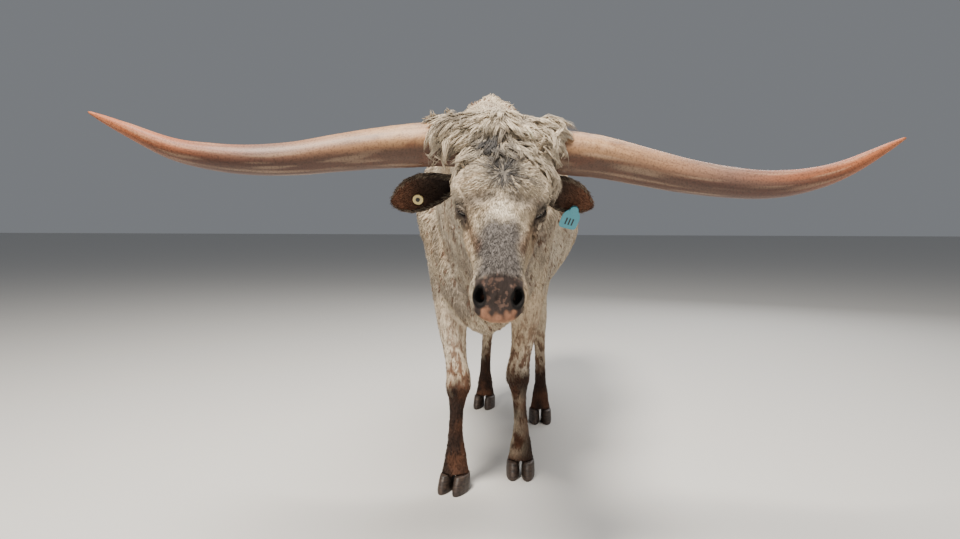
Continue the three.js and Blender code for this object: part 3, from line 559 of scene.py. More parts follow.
# %% Face forms
points = positions(skin.data)
normals = vertex_normals(skin.data)
local = to_skull(points)
local_normals = normals @ SKULL_TURN
face = np.abs(local[:, 0]) < 0.3
face &= (local[:, 1] > -0.58) & (local[:, 1] < 0.1) & (local[:, 2] > -0.32) & (local[:, 2] < 0.12)
P = local[face]
N = local_normals[face]
for side in (-1, 1):
    P = shape_lids(P, side)
M = folded(P)
FACE_FORMS = [
    # centre, reach and height in mm: brow cushions, the valley between, hollows, rims and lips
    [[72, -200, 6], [52, 50, 46], 12.0],
    [[0, -195, 18], [26, 64, 40], -8.0],
    [[50, -264, -8], [38, 28, 36], -8.0],
    [[84, -322, -72], [30, 50, 28], -6.0],
    [[58, -300, -40], [22, 60, 30], -4.0],
    [[92, -330, -112], [30, 60, 24], 4.0],
    [[54, -482, -62], [16, 26, 20], 3.5],
    [[26, -496, -58], [12, 20, 16], 3.0],
    [[0, -520, -78], [13, 34, 24], -2.5],
    [[58, -520, -96], [14, 22, 16], 3.0],
]
for centre, reach, height in FACE_FORMS:
    d = np.linalg.norm((M - np.array(centre) * MM) / (np.array(reach) * MM), axis=1)
    P = P + N * (bump(d, 1) * height * MM)[:, None]
print("face forms pressed:", len(FACE_FORMS))

# %% [markdown]
# Wrinkles, lips and the rims of the nostrils are narrow. Each is a chain of points laid on the face:
# the skin near the chain is pushed in for a fold or out for a lip, and the push fades at both ends,
# as a real wrinkle does. Sculpting by hand would be quicker to see but couldn't be run again.

# %% Folds and lips
MOUTH = [[2, -548, -112], [22, -540, -112], [42, -522, -112], [56, -490, -114], [60, -450, -120]]
# each fold's line in mm, then its reach and its height in metres
FOLDS = [
    # two above the eye and two below it
    ([[112, -215, -20], [104, -248, -30], [88, -282, -44]], 0.011, -0.0050),
    ([[104, -205, -6], [94, -240, -12], [78, -268, -22]], 0.010, -0.0030),
    ([[92, -284, -82], [84, -300, -84], [74, -322, -84]], 0.012, -0.0045),
    ([[97, -276, -98], [88, -296, -104], [76, -324, -104]], 0.010, -0.0035),
    # the ridge of the cheek, the side of the bridge and the upper edge of the jaw
    ([[88, -292, -92], [80, -340, -96], [70, -400, -98]], 0.016, 0.0050),
    ([[58, -300, -18], [50, -360, -26], [42, -430, -36]], 0.022, -0.0040),
    ([[70, -330, -128], [62, -390, -128], [56, -440, -122]], 0.022, -0.0040),
    # over and behind the nostril
    ([[30, -452, -30], [48, -470, -48], [58, -492, -66]], 0.010, -0.0030),
    ([[52, -436, -62], [60, -462, -76], [62, -488, -96]], 0.008, -0.0028),
    # the mouth, then its upper and lower lip
    (MOUTH + [[62, -425, -126]], 0.0055, -0.0065),
    ([[2, -546, -104], [24, -536, -104], [44, -518, -103], [57, -488, -104]], 0.007, 0.0022),
    ([[2, -540, -121], [22, -532, -121], [42, -515, -120], [55, -488, -122]], 0.008, 0.0026),
    # the groove down the nose pad, then the inner and the outer rim of the nostril
    ([[0, -470, -40], [0, -500, -60], [0, -540, -98]], 0.006, -0.0018),
    ([[22, -470, -38], [26, -488, -50], [27, -505, -66], [34, -522, -86]], 0.009, 0.0026),
    ([[30, -468, -42], [50, -480, -52], [60, -498, -68], [54, -518, -90]], 0.010, 0.0034),
]
M = folded(P)
for line, reach, height in FOLDS:
    d, t = from_line(M, np.array(line) * MM)
    fade = np.sin(np.pi * np.clip(t * 0.9 + 0.08, 0, 1))
    P = P + N * (bump(d, reach) * height * fade)[:, None]
print("folds drawn:", len(FOLDS))

# %% [markdown]
# The nostril is a comma-shaped pit that opens forwards and outwards. Its floor is pushed into the
# nose, and the skin is a little swollen round it. Fine unevenness is added above the nose pad.

# %% Nostrils
NOSTRIL_LONG = 0.021
NOSTRIL_WIDE = 0.0125
away = M - NOSTRIL
hole_along = unit(np.array([[0.10, -0.70, -0.70]]))[0]
hole_across = unit(np.array([[0.86, 0.34, -0.22]]))[0]
a, b = away @ hole_along, away @ hole_across
hole = np.sqrt((a / NOSTRIL_LONG) ** 2 + ((b + a * a * 8 - 0.001) / NOSTRIL_WIDE) ** 2)
into = np.array([-0.25, 0.80, -0.55])
depth = smoothstep(1.0, 0.5, hole) * 0.005 * (np.linalg.norm(away, axis=1) < 0.04)
outward = np.column_stack([np.sign(P[:, 0]), np.ones(len(P)), np.ones(len(P))])
P = P + into * outward * depth[:, None]
P = P + np.array([3.5, -3, -5]) * MM * outward * bump(np.linalg.norm(away, axis=1), 0.05)[:, None]
rough = noise(local[face], 0.012, 3) - 0.5
P = P + N * (rough * 0.0016 * smoothstep(0.50, 0.40, -P[:, 1]))[:, None]
local[face] = P
set_positions(skin.data, from_skull(local))
modified(skin, "SMOOTH", factor=0.35, iterations=1)
from_brow = folded(to_skull(positions(skin.data))) - np.array([104, -205, -20]) * MM
weight_group(skin, "brows", bump(np.linalg.norm(from_brow, axis=1), 0.055))
modified(skin, "SMOOTH", factor=0.5, iterations=16, vertex_group="brows")
skin.vertex_groups.clear()
print("head shaped:", int(face.sum()), "points")

# %% [markdown]
# The skin is then thinned to fewer than 200,000 triangles. A plain Decimate would thin the lids and
# nostrils as much as the flanks; a vertex group keeps nearly all the loss on the trunk and legs.

# %% Fewer triangles where the form is plain
SKIN_TRIANGLES = 190000
modified(skin, "TRIANGULATE")
in_skull = to_skull(positions(skin.data))
distance = np.linalg.norm(in_skull - np.array([0, -0.33, -0.08]), axis=1)
weight_group(skin, "plain", np.clip(0.08 + smoothstep(0.16, 0.36, distance), 0, 1))
now = len(skin.data.polygons)
if now > SKIN_TRIANGLES:
    modified(
        skin,
        "DECIMATE",
        ratio=SKIN_TRIANGLES / now,
        vertex_group="plain",
        vertex_group_factor=4.0,
        use_collapse_triangulate=True,
    )
skin.vertex_groups.clear()
shade_smooth(skin)
print("skin triangles", now, "->", len(skin.data.polygons))

# %% [markdown]
# ## Markings and lie
#
# Every place on the hide belongs to one region. From its place alone it gets a colour, a direction
# in which the hair lies and a spot on an unwrap of the skin: each region is rolled out about its
# own middle line into its own rectangle. Skin and coat both ask these functions. Blender's own
# unwrap would serve the skin, but a tuft has to find the spot of its root, which a rolled-out
# cylinder gives with a little trigonometry.

# %% Regions
TRUNK, HEAD, FRONT_LEFT, FRONT_RIGHT, HIND_LEFT, HIND_RIGHT, TAIL = range(7)
LEG_BOXES = {
    FRONT_LEFT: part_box("leg_front_left"),
    FRONT_RIGHT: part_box("leg_front_right"),
    HIND_LEFT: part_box("leg_hind_left"),
    HIND_RIGHT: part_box("leg_hind_right"),
}
# left, bottom, width and height of each region's rectangle on the unwrap
RECTANGLES = {
    TRUNK: (0.01, 0.01, 0.55, 0.64),
    HEAD: (0.58, 0.01, 0.40, 0.64),
    FRONT_LEFT: (0.01, 0.68, 0.17, 0.30),
    FRONT_RIGHT: (0.20, 0.68, 0.17, 0.30),
    HIND_LEFT: (0.39, 0.68, 0.17, 0.30),
    HIND_RIGHT: (0.58, 0.68, 0.17, 0.30),
    TAIL: (0.77, 0.68, 0.20, 0.30),
}


def region_of(P):
    """The number of the region that each place belongs to."""
    local = to_skull(P)
    region = np.full(len(P), TRUNK)
    crown = np.linalg.norm((local - [0, -0.02, -0.05]) / [0.22, 0.16, 0.15], axis=1) < 1
    head = (local[:, 1] < 0.0) & (np.abs(local[:, 0]) < 0.2) & (local[:, 2] > -0.29)
    head |= crown
    region[head] = HEAD
    for leg, (low, high) in LEG_BOXES.items():
        inside = (P[:, 2] < high.z) & (P[:, 0] > low.x - 0.03) & (P[:, 0] < high.x + 0.03)
        inside &= (P[:, 1] > low.y - 0.03) & (P[:, 1] < high.y + 0.03)
        region[inside & (P[:, 2] < high.z - 0.002)] = leg
    hangs_behind = P[:, 1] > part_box("tail")[1].y - 0.09
    region[hangs_behind & (np.abs(P[:, 0] - BODY[0]) < 0.05) & (P[:, 2] < 1.39)] = TAIL
    return region


def leg_middle(leg, z):
    """Where the middle line of a leg passes at a height."""
    low, high = LEG_BOXES[leg]
    front = leg in (FRONT_LEFT, FRONT_RIGHT)
    reach = (low.y + high.y) / 2 if front else low.y + 0.1 + 0.09 * smoothstep(0.1, 0.5, z)
    return (low.x + high.x) / 2, reach


def unwrap(P, region):
    """Each place's spot on the unwrap, rolled out about its region's middle line."""
    uv = np.zeros((len(P), 2))
    local = to_skull(P)
    body = P - BODY
    for r, (left, bottom, width, tall) in RECTANGLES.items():
        m = region == r
        if not m.any():
            continue
        if r == TRUNK:
            bend = np.interp(body[m, 1], [-0.75, -0.15, 0.1], [0.1, 0.015, 0])
            level = np.interp(body[m, 1], [-0.75, -0.2, 0.1, 1.0, 1.4], [1.13, 1.05, 0.95, 1.0, 1.12])
            along = (body[m, 1] + 0.75) / 2.2
            around = np.arctan2(body[m, 0] - bend, level - body[m, 2])
        elif r == HEAD:
            along = (0.15 - local[m, 1]) / 0.75
            around = np.arctan2(local[m, 0], -0.09 - local[m, 2])
        elif r == TAIL:
            along = P[m, 2] / 1.5
            around = np.arctan2(P[m, 0] - BODY[0], P[m, 1] - BODY[1] - 1.43)
        else:
            x, y = leg_middle(r, P[m, 2])
            along = P[m, 2] / 0.85
            around = np.arctan2(P[m, 0] - x, P[m, 1] - y)
        uv[m, 0] = left + width * np.clip(along, 0, 1)
        uv[m, 1] = bottom + tall * (around / math.tau + 0.5)
    return uv


# %% [markdown]
# Few hairs are one colour. The hide is mixed from eight, from cream to ink, by masks from 0 to 1:
# each mark takes what lies below it and blends one more colour in, as a painter glazes.

# %% Colours of the hide
CREAM = np.array([0.60, 0.505, 0.375])
PALE = np.array([0.72, 0.64, 0.515])
TAN = np.array([0.43, 0.295, 0.175])
ROAN = np.array([0.24, 0.205, 0.175])
GREY = np.array([0.12, 0.115, 0.115])
RUST = np.array([0.13, 0.055, 0.028])
UMBER = np.array([0.030, 0.015, 0.010])
INK = np.array([0.012, 0.010, 0.010])
WHORL = np.array([4, -184, 12]) * MM  # where the hair of the forehead parts
PINK = np.array([0.36, 0.19, 0.13])
NOSE_DARK = np.array([0.036, 0.026, 0.023])
NOSE_RIM = [0.20, 0.15, 0.125]


def mixed(colour, other, amount):
    """A colour blended towards another by an amount from 0 to 1 at each place."""
    return colour + (np.asarray(other) - colour) * np.clip(amount, 0, 1)[:, None]


def flecks(P, size, level, seed):
    """Small spots: 1 inside, 0 outside, with soft edges."""
    lumps = noise(P, size, seed) * 0.75 + noise(P, size * 0.45, seed + 5) * 0.25
    return smoothstep(level, level + 0.05, lumps)


print("the hide's colours run from cream", CREAM, "to ink", INK)

# %% [markdown]
# The trunk is cream, clouded with paler and tanner hair, grizzled grey-brown, darker grey-brown under
# the neck and shoulders as painted shade, and flecked with rust-brown spots that thicken towards the front.


# %% Marks of the trunk
def trunk_marks(colour, P, region):
    body = P - BODY
    trunk = region == TRUNK
    # Painted shade: more grey-brown low under the neck and shoulders, on top of the real grizzling.
    painted_neck_shade = smoothstep(1.25, 0.85, body[:, 2]) * smoothstep(0.55, 0.0, body[:, 1])
    colour = mixed(colour, ROAN, trunk * painted_neck_shade * 0.6 * smoothstep(0.3, 0.7, noise(P, 0.09, 3)))
    streak = P * [1, 1, 0.35]
    grizzled = smoothstep(0.5, 0.75, noise(streak, 0.035, 4)) * (0.32 + 0.2 * painted_neck_shade)
    colour = mixed(colour, ROAN, trunk * grizzled)
    near = smoothstep(0.9, 0.1, body[:, 1])
    spots = flecks(P, 0.017, 0.70 - 0.045 * near, 6)
    return mixed(colour, RUST, trunk * spots * 0.75)


# %% [markdown]
# The legs darken to umber below the knees and hocks. The border is ragged, because two sizes of
# noise move it up and down, and flecks run out of it up the forearm. The left cannon has a pale
# inner side.


# %% Marks of the legs
def leg_marks(colour, P, region):
    body = P - BODY
    front = (region == FRONT_LEFT) | (region == FRONT_RIGHT)
    hind = (region == HIND_LEFT) | (region == HIND_RIGHT)
    z = P[:, 2] + (noise(P, 0.05, 7) - 0.5) * 0.08 + (noise(P, 0.02, 8) - 0.5) * 0.05
    dark = front * smoothstep(0.46, 0.34, z) + hind * smoothstep(0.34, 0.22, z)
    fleck_high = front * smoothstep(0.85, 0.42, P[:, 2]) + hind * smoothstep(0.6, 0.3, P[:, 2])
    colour = mixed(colour, RUST, fleck_high * flecks(P, 0.012, 0.60 - 0.12 * fleck_high, 9) * 0.9)
    lower = UMBER + (RUST - UMBER) * (smoothstep(0.4, 0.75, noise(P, 0.045, 10)) * 0.55)[:, None]
    colour = mixed(colour, lower, dark)
    inner_left = (region == FRONT_LEFT) * smoothstep(0.05, -0.03, body[:, 0] - 0.105)
    inner_left *= smoothstep(0.06, 0.12, P[:, 2]) * smoothstep(0.36, 0.28, P[:, 2])
    return mixed(colour, CREAM, inner_left * smoothstep(0.35, 0.6, noise(P, 0.03, 11)) * 0.75)


# %% [markdown]
# The face has a grey bridge, a pale blaze between the eyes, dark hair at the whorl of the forehead,
# tear stains, cheeks streaked with rust and painted shade under the brow cushions. Each mark is a
# fade by distance from a line or a place in the skull's frame, so it lies in the same spot on skin and
# coat.


# %% Marks of the face
def face_marks(colour, P, local, head):
    side = np.abs(local[:, 0])
    down = -local[:, 1]
    wave = (noise(P, 0.03, 12) - 0.5) * 0.05
    bridge = smoothstep(0.295, 0.345, down + wave) * smoothstep(0.50, 0.46, down)
    bridge *= smoothstep(0.068, 0.032, side + wave * 0.4) * smoothstep(-0.1, -0.04, local[:, 2])
    colour = mixed(colour, GREY * [0.85, 0.85, 0.92], head * bridge * 0.88)
    half = folded(local)
    tear, _ = from_line(half, np.array([[92, -262, -66], [78, -300, -62], [54, -380, -44]]) * MM)
    colour = mixed(colour, RUST * 0.8, head * bump(tear, 0.026) * 0.75)
    # Painted shade: a grey-brown band just under the brow cushions, where light from above leaves shade.
    painted_brow_shade, _ = from_line(half, np.array([[26, -256, 0], [62, -262, -14], [92, -246, -40]]) * MM)
    colour = mixed(colour, ROAN * 0.7, head * bump(painted_brow_shade, 0.034) * 0.8)
    whorl = np.linalg.norm((local - WHORL)[:, :2] * [1, 0.75], axis=1)
    colour = mixed(colour, GREY * 0.6, (head * (local[:, 2] > -0.06)) * bump(whorl, 0.050) * 0.9)
    cheek = head * smoothstep(0.05, 0.085, side) * smoothstep(0.24, 0.30, down)
    colour = mixed(colour, TAN, cheek * 0.5)
    lines = smoothstep(0.55, 0.78, noise(local * [1, 0.3, 1], 0.02, 13))
    colour = mixed(colour, RUST * 0.7, cheek * lines * 0.55)
    jaw = head * smoothstep(0.075, 0.105, side) * smoothstep(0.1, 0.18, down)
    colour = mixed(colour, RUST, jaw * flecks(P, 0.014, 0.66, 14) * 0.7)
    brow = head * smoothstep(0.16, 0.05, down) * smoothstep(0.09, 0.02, side)
    colour = mixed(colour, GREY, brow * smoothstep(0.35, 0.65, noise(P, 0.03, 15)) * 0.55)
    blaze = head * smoothstep(0.262, 0.285, down) * smoothstep(0.325, 0.305, down + wave * 0.3)
    blaze *= smoothstep(0.040, 0.016, side - (down - 0.30) * 0.5)
    return mixed(colour, PALE * 1.12, blaze * 0.95)


# %% [markdown]
# Round the eyes the hair is dark, the slit between the lids is nearly black, and a dark streak runs
# from the inner corner, where tears wet the skin.


# %% Marks of the eyes
def eye_marks(colour, local, head):
    facing, along, up = eye_axes(1)
    half = folded(local)
    eye_away = half - EYE
    eye_way = unit(eye_away)
    s = np.abs(eye_way @ along)
    near_eye = bump(np.linalg.norm(eye_away * [1, 0.75, 1.1], axis=1), 0.056)
    colour = mixed(colour, ROAN * 0.6, head * near_eye * 0.95)
    slit = bump(np.abs(eye_way @ up), 0.62) * smoothstep(1.05, 0.85, s) * (eye_way @ facing > 0.1)
    slit *= smoothstep(0.040, 0.032, np.linalg.norm(eye_away, axis=1))
    colour = mixed(colour, INK * 1.3, head * slit)
    corner = EYE + (facing * 0.45 + along * 0.9) * 0.025
    duct, _ = from_line(half, [corner, corner + along * 0.022 + [-0.006, -0.008, 0.006]])
    return mixed(colour, UMBER, head * bump(duct, 0.011) * 0.9)


# %% [markdown]
# The nose pad is bare skin: dark, with a pink lower edge and pale scabs. The nostrils are painted
# near black inside, painted shade for a depth the shallow pits lack, and the lips are tan with a
# dark line where they meet.


# %% Marks of the nose
def nose_marks(colour, P, local, head):
    side = np.abs(local[:, 0])
    down = -local[:, 1]
    wave = (noise(P, 0.03, 12) - 0.5) * 0.05
    pad = head * smoothstep(0.455, 0.475, down + wave * 0.25) * smoothstep(0.062, 0.052, side)
    pad *= smoothstep(-0.125, -0.11, local[:, 2])
    scabs = smoothstep(0.56, 0.68, noise(P, 0.0085, 16) * 0.65 + noise(P, 0.0032, 17) * 0.35)
    scabs *= smoothstep(0.050, 0.034, side) * smoothstep(-0.098, -0.080, local[:, 2])
    nose = NOSE_DARK + (PINK * [0.85, 0.95, 1.05] - NOSE_DARK) * (scabs * 0.3)[:, None]
    wander = (noise(P, 0.012, 18) - 0.5) * 0.02
    lower_pad = smoothstep(-0.086, -0.098, local[:, 2] + wander) * smoothstep(0.044, 0.030, side + wander)
    nose = mixed(nose, PINK * [1.0, 0.95, 0.85], lower_pad * 0.8)
    rim = smoothstep(0.048, 0.060, side) * smoothstep(-0.06, -0.08, local[:, 2])
    nose = mixed(nose, NOSE_RIM, rim * 0.7)
    colour = mixed(colour, nose, pad)
    # Painted shade: near black inside the shallow nostril pits, standing in for their depth.
    away = folded(local) - NOSTRIL - np.array([3, -3, -5]) * MM
    hole = np.linalg.norm(away / [0.0145, 0.026, 0.021], axis=1)
    colour = mixed(colour, INK * 0.6, head * smoothstep(1.30, 1.02, hole))
    lips = head * smoothstep(0.40, 0.46, down) * smoothstep(-0.100, -0.112, local[:, 2])
    colour = mixed(colour, TAN * 1.1, lips * 0.6)
    mouth_line, _ = from_line(folded(local), np.array(MOUTH) * MM)
    return mixed(colour, UMBER, head * bump(mouth_line, 0.008) * 0.9)


def hide_colour(P, region):
    """The colour of skin and hair alike at each place."""
    local = to_skull(P)
    head = region == HEAD
    colour = np.tile(CREAM, (len(P), 1))
    colour = mixed(colour, PALE, smoothstep(0.45, 0.75, noise(P, 0.16, 1)) * 0.7)
    colour = mixed(colour, TAN, smoothstep(0.5, 0.85, noise(P, 0.11, 2)) * 0.35)
    colour = trunk_marks(colour, P, region)
    colour = leg_marks(colour, P, region)
    colour = face_marks(colour, P, local, head)
    colour = eye_marks(colour, local, head)
    colour = nose_marks(colour, P, local, head)
    return np.clip(colour, 0.004, 1)


# %% [markdown]
# Hair lies back and down over the trunk, straight down the legs and the tail, and away from the
# whorl on the forehead; along the nose it turns towards the pad. A combed particle system would show
# this too, but a field of directions can be asked at any place, and the export keeps solid tufts.


# %% Lie of the hair
def laid_flat(way, N):
    """Directions with what points out of the skin taken away."""
    return unit(way - N * np.sum(way * N, axis=1)[:, None])


def lie_of(P, N, region):
    """The way the hair lies at each place, along the skin."""
    body = P - BODY
    local = to_skull(P)
    flow = np.tile([0.0, 0.75, -0.65], (len(P), 1))
    top = smoothstep(1.2, 1.38, body[:, 2])[:, None]
    flow = flow * (1 - top) + np.array([0, 1.0, -0.1]) * top
    flow[:, 0] += np.sin(body[:, 1] * 9 + body[:, 2] * 5) * 0.18
    legs = (region >= FRONT_LEFT) & (region <= HIND_RIGHT)
    flow[legs] = [0, 0.15, -1]
    flow[region == TAIL] = [0, 0.02, -1]
    head = region == HEAD
    out = local[head] - WHORL
    radial = out.copy()
    radial[:, 2] *= 0.5
    far = smoothstep(0.10, 0.24, np.linalg.norm(out, axis=1))[:, None]
    side = np.clip(local[head, 0] / 0.045, -1, 1)[:, None]
    ones = np.ones(head.sum())
    nose = unit(np.column_stack([side[:, 0] * 0.35, -ones, -0.1 * ones]))
    cheek = unit(np.column_stack([side[:, 0] * 0.1, 0.25 * ones, -ones]))
    to_cheek = smoothstep(-0.07, -0.12, local[head, 2])[:, None]
    below = smoothstep(-0.02, 0.08, WHORL[1] - local[head, 1])[:, None]
    swirl = unit(radial) * (1 - far * below) + nose * far * below
    swirl = swirl * (1 - to_cheek) + cheek * to_cheek
    flow[head] = swirl @ SKULL_TURN.T
    wander = np.column_stack([noise(P, 0.05, 20 + k) for k in range(3)]) - 0.5
    return laid_flat(unit(flow) + wander * 0.55, N)


# %% [markdown]
# The skin keeps its colour in an attribute, one value at each point, and its unwrap in a UV map.
# Triangles that straddle the back of a rolled-out cylinder would stretch right across the map, so
# their corners are moved to one side.


# %% Paint the skin
def put_colours(mesh, colours):
    layer = mesh.color_attributes.new("hide", "FLOAT_COLOR", "POINT")
    rgba = np.column_stack([colours, np.ones(len(colours))]).astype(np.float32)
    layer.data.foreach_set("color", rgba.ravel())


def put_skin_unwrap(mesh):
    tris = triangles(mesh)
    P = positions(mesh)
    centres = P[tris].mean(axis=1)
    region = np.repeat(region_of(centres), 3)
    uv = unwrap(P[tris].reshape(-1, 3), region).reshape(-1, 3, 2)
    for r, (left, bottom, width, tall) in RECTANGLES.items():
        m = region.reshape(-1, 3)[:, 0] == r
        v = uv[m][:, :, 1]
        torn = v.max(axis=1) - v.min(axis=1) > tall * 0.5
        v[torn] = np.where(v[torn] < bottom + tall * 0.5, bottom + tall, v[torn])
        uv[m, :, 1] = v
    layer = mesh.uv_layers.new(name="OFBake")
    layer.data.foreach_set("uv", uv.astype(np.float32).ravel())


skin_points = positions(skin.data)
put_colours(skin.data, hide_colour(skin_points, region_of(skin_points)))
put_skin_unwrap(skin.data)
print("skin painted and unwrapped")

# %% [markdown]
# ## Materials
#
# Hair, horn and hoof are never even. Each material multiplies its colour by fine noise on the
# object's own coordinates and raises a slight bump from noise too. Image textures would need a
# photograph of each; noise doesn't, and it is as sharp close up as from afar.


# %% Material helpers
def new_material(name, roughness, colour=(0.5, 0.5, 0.5)):
    material = bpy.data.materials.new(name)
    material.use_nodes = True
    shader = material.node_tree.nodes["Principled BSDF"]
    shader.inputs["Roughness"].default_value = roughness
    shader.inputs["Base Color"].default_value = (*colour, 1)
    return material, material.node_tree, shader


def add_node(tree, kind, **inputs):
    node = tree.nodes.new(kind)
    for key, value in inputs.items():
        node.inputs[key.replace("_", " ")].default_value = value
    return node


def object_noise(tree, scale, stretch=(1, 1, 1), detail=4.0):
    place = tree.nodes.new("ShaderNodeTexCoord")
    mapping = tree.nodes.new("ShaderNodeMapping")
    mapping.inputs["Scale"].default_value = stretch
    cloud = add_node(tree, "ShaderNodeTexNoise", Scale=scale, Detail=detail)
    tree.links.new(place.outputs["Object"], mapping.inputs["Vector"])
    tree.links.new(mapping.outputs["Vector"], cloud.inputs["Vector"])
    return cloud


def ramp(tree, source, stops):
    node = tree.nodes.new("ShaderNodeValToRGB")
    elements = node.color_ramp.elements
    while len(elements) < len(stops):
        elements.new(0.5)
    for element, (place, colour) in zip(elements, stops):
        element.position = place
        element.color = (*colour, 1)
    tree.links.new(source, node.inputs["Fac"])
    return node


def raise_by(tree, shader, source, strength, distance):
    node = add_node(tree, "ShaderNodeBump", Strength=strength, Distance=distance)
    tree.links.new(source, node.inputs["Height"])
    tree.links.new(node.outputs["Normal"], shader.inputs["Normal"])


def multiply(tree, a, b):
    node = tree.nodes.new("ShaderNodeMix")
    node.data_type = "RGBA"
    node.blend_type = "MULTIPLY"
    node.inputs["Factor"].default_value = 1.0
    tree.links.new(a, node.inputs["A"])
    tree.links.new(b, node.inputs["B"])
    return node.outputs["Result"]


def show_painted(tree, shader, shade):
    """The painted attribute, darkened and lightened by a ramp, as the surface's colour."""
    painted = tree.nodes.new("ShaderNodeVertexColor")
    painted.layer_name = "hide"
    colour = multiply(tree, painted.outputs["Color"], shade.outputs["Color"])
    tree.links.new(colour, shader.inputs["Base Color"])


# %% [markdown]
# Bare hide is dull and streaked; hair catches a little more light along its length. Both read the
# painted attribute, so one material serves every marking.


# %% Hide and hair
def hide_material(name, roughness, bump_strength):
    material, tree, shader = new_material(name, roughness)
    shader.inputs["Specular IOR Level"].default_value = 0.25
    grain = object_noise(tree, 160, (1, 0.5, 0.5), 3)
    shade = ramp(tree, grain.outputs["Fac"], [(0.3, (0.72, 0.70, 0.68)), (0.75, (1.12, 1.1, 1.08))])
    show_painted(tree, shader, shade)
    if bump_strength:
        streaks = object_noise(tree, 420, (1, 0.35, 0.35), 3)
        raise_by(tree, shader, streaks.outputs["Fac"], bump_strength, 0.002)
    return material


HIDE = hide_material("hide", 0.82, 0.5)
HAIR = hide_material("hair", 0.7, 0)
skin.data.materials.append(HIDE)
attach(skin, "root")
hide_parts(*FLESH)
print("skin ready")

# %% [markdown]
# ## Coat
#
# The coat is solid: thin tufts of a few faces each, rooted below the skin and lying along the
# hair. Particle hair would be quicker to grow, but it isn't geometry and doesn't leave Blender.
# A tuft is a chain of three-cornered rings that ends in a point, painted darker at its root and
# lighter at its tip: painted shade among the hairs and painted light on their ends. It takes its
# colour from the hide at its root and its patch of the unwrap from there too. Tufts are long and
# shaggy on the poll and the end of the tail, of middle length on the forehead and short and flat
# elsewhere.


# %% Tuft builder
PATCH = 0.003


def mesh_from_arrays(name, points, faces):
    mesh = bpy.data.meshes.new(name)
    mesh.vertices.add(len(points))
    mesh.vertices.foreach_set("co", points.astype(np.float32).ravel())
    mesh.loops.add(faces.size)
    mesh.loops.foreach_set("vertex_index", faces.astype(np.int32).ravel())
    mesh.polygons.add(len(faces))
    mesh.polygons.foreach_set("loop_start", np.arange(0, faces.size, 3, dtype=np.int32))
    mesh.update(calc_edges=True)
    return mesh


def tuft_paths(roots, N, lie, length, lift, fall, curl, steps, sag=0.0):
    """Points along the middle of each tuft: it leaves the skin at lift and bends back by fall."""
    side = np.cross(N, lie)
    here = roots.copy()
    path = [here]
    for k in range(steps):
        t = (k + 0.5) / steps
        rise = lift - fall * t
        turn_by = curl * t
        along = lie * np.cos(turn_by)[:, None] + side * np.sin(turn_by)[:, None]
        step = along * np.cos(rise)[:, None] + N * np.sin(rise)[:, None]
        step[:, 2] -= sag * t
        here = here + unit(step) * (length / steps)[:, None]
        path.append(here)
    return np.stack(path, axis=1)


def tufts(name, path, N, width, thick, colours, uv, sink=0.0015, painted_tip_light=1.12):
    """One mesh of closed tufts along paths of shape (tufts, steps + 1, 3)."""
    count, rings = path.shape[0], path.shape[1] - 1
    path = path.copy()
    path[:, 0] -= N * sink
    along = unit(np.gradient(path, axis=1))
    across = unit(np.cross(along, N[:, None, :]))
    out = np.cross(across, along)
    share = np.arange(rings) / rings
    profile = np.where(share == 0, 0.75, (1 - share**2.0))
    half = (width[:, None] / 2) * profile
    rise = thick[:, None] * (1 - share * 0.7)
    ring = path[:, :-1, None, :] + np.stack(
        [
            across[:, :-1] * half[..., None],
            out[:, :-1] * rise[..., None],
            -across[:, :-1] * half[..., None],
        ],
        axis=2,
    )
    points = np.concatenate([ring.reshape(count, rings * 3, 3), path[:, -1:, :]], axis=1)
    each = rings * 3 + 1
    faces = [[0, 2, 1]]
    for r in range(rings - 1):
        for i in range(3):
            a, b = r * 3 + i, r * 3 + (i + 1) % 3
            faces += [[a, b, b + 3], [a, b + 3, a + 3]]
    last = (rings - 1) * 3
    faces += [[last + i, last + (i + 1) % 3, each - 1] for i in range(3)]
    faces = np.array(faces)[None] + (np.arange(count) * each)[:, None, None]
    mesh = mesh_from_arrays(name, points.reshape(-1, 3), faces.reshape(-1, 3))
    t = np.r_[np.repeat(share, 3), 1]
    # Painted shade at the root and painted light at the tip of every tuft.
    shade = 0.80 + (painted_tip_light - 0.80) * t
    put_colours(mesh, np.clip(colours[:, None, :] * shade[None, :, None], 0.003, 0.9).reshape(-1, 3))
    sway = np.r_[np.tile([-0.5, 0, 0.5], rings), 0]
    spot = np.column_stack([sway, t - 0.5]) * PATCH
    patches = (uv[:, None, :] + spot[None]).reshape(-1, 2)
    layer = mesh.uv_layers.new(name="OFBake")
    layer.data.foreach_set("uv", patches[faces.reshape(-1)].astype(np.float32).ravel())
    obj = put_in_scene(name, mesh)
    shade_smooth(obj)
    mesh.materials.append(HAIR)
    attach(obj, "root")
    print(name, count, "tufts,", len(mesh.polygons), "triangles")
    return obj


# %% [markdown]
# Roots are drawn at random over the skin's triangles, each as often as its area asks, or the hair
# would crowd where the faces are small. Length, width, lift and colour vary from tuft to tuft,
# because an even coat looks like fur fabric.

# %% Roots on the skin
skin_tris = triangles(skin.data)
skin_normals = vertex_normals(skin.data)
corners = skin_points[skin_tris]
across_each = np.cross(corners[:, 1] - corners[:, 0], corners[:, 2] - corners[:, 0])
areas = np.linalg.norm(across_each, axis=1) / 2
centres = corners.mean(axis=1)
centre_region = region_of(centres)
centre_local = to_skull(centres)
THIN = 1.0


def pick_triangles(share, count):
    """Numbers of triangles drawn at random, each as often as its share."""
    picked = np.searchsorted(np.cumsum(share), rng.random(count) * share.sum())
    return np.minimum(picked, len(share) - 1)


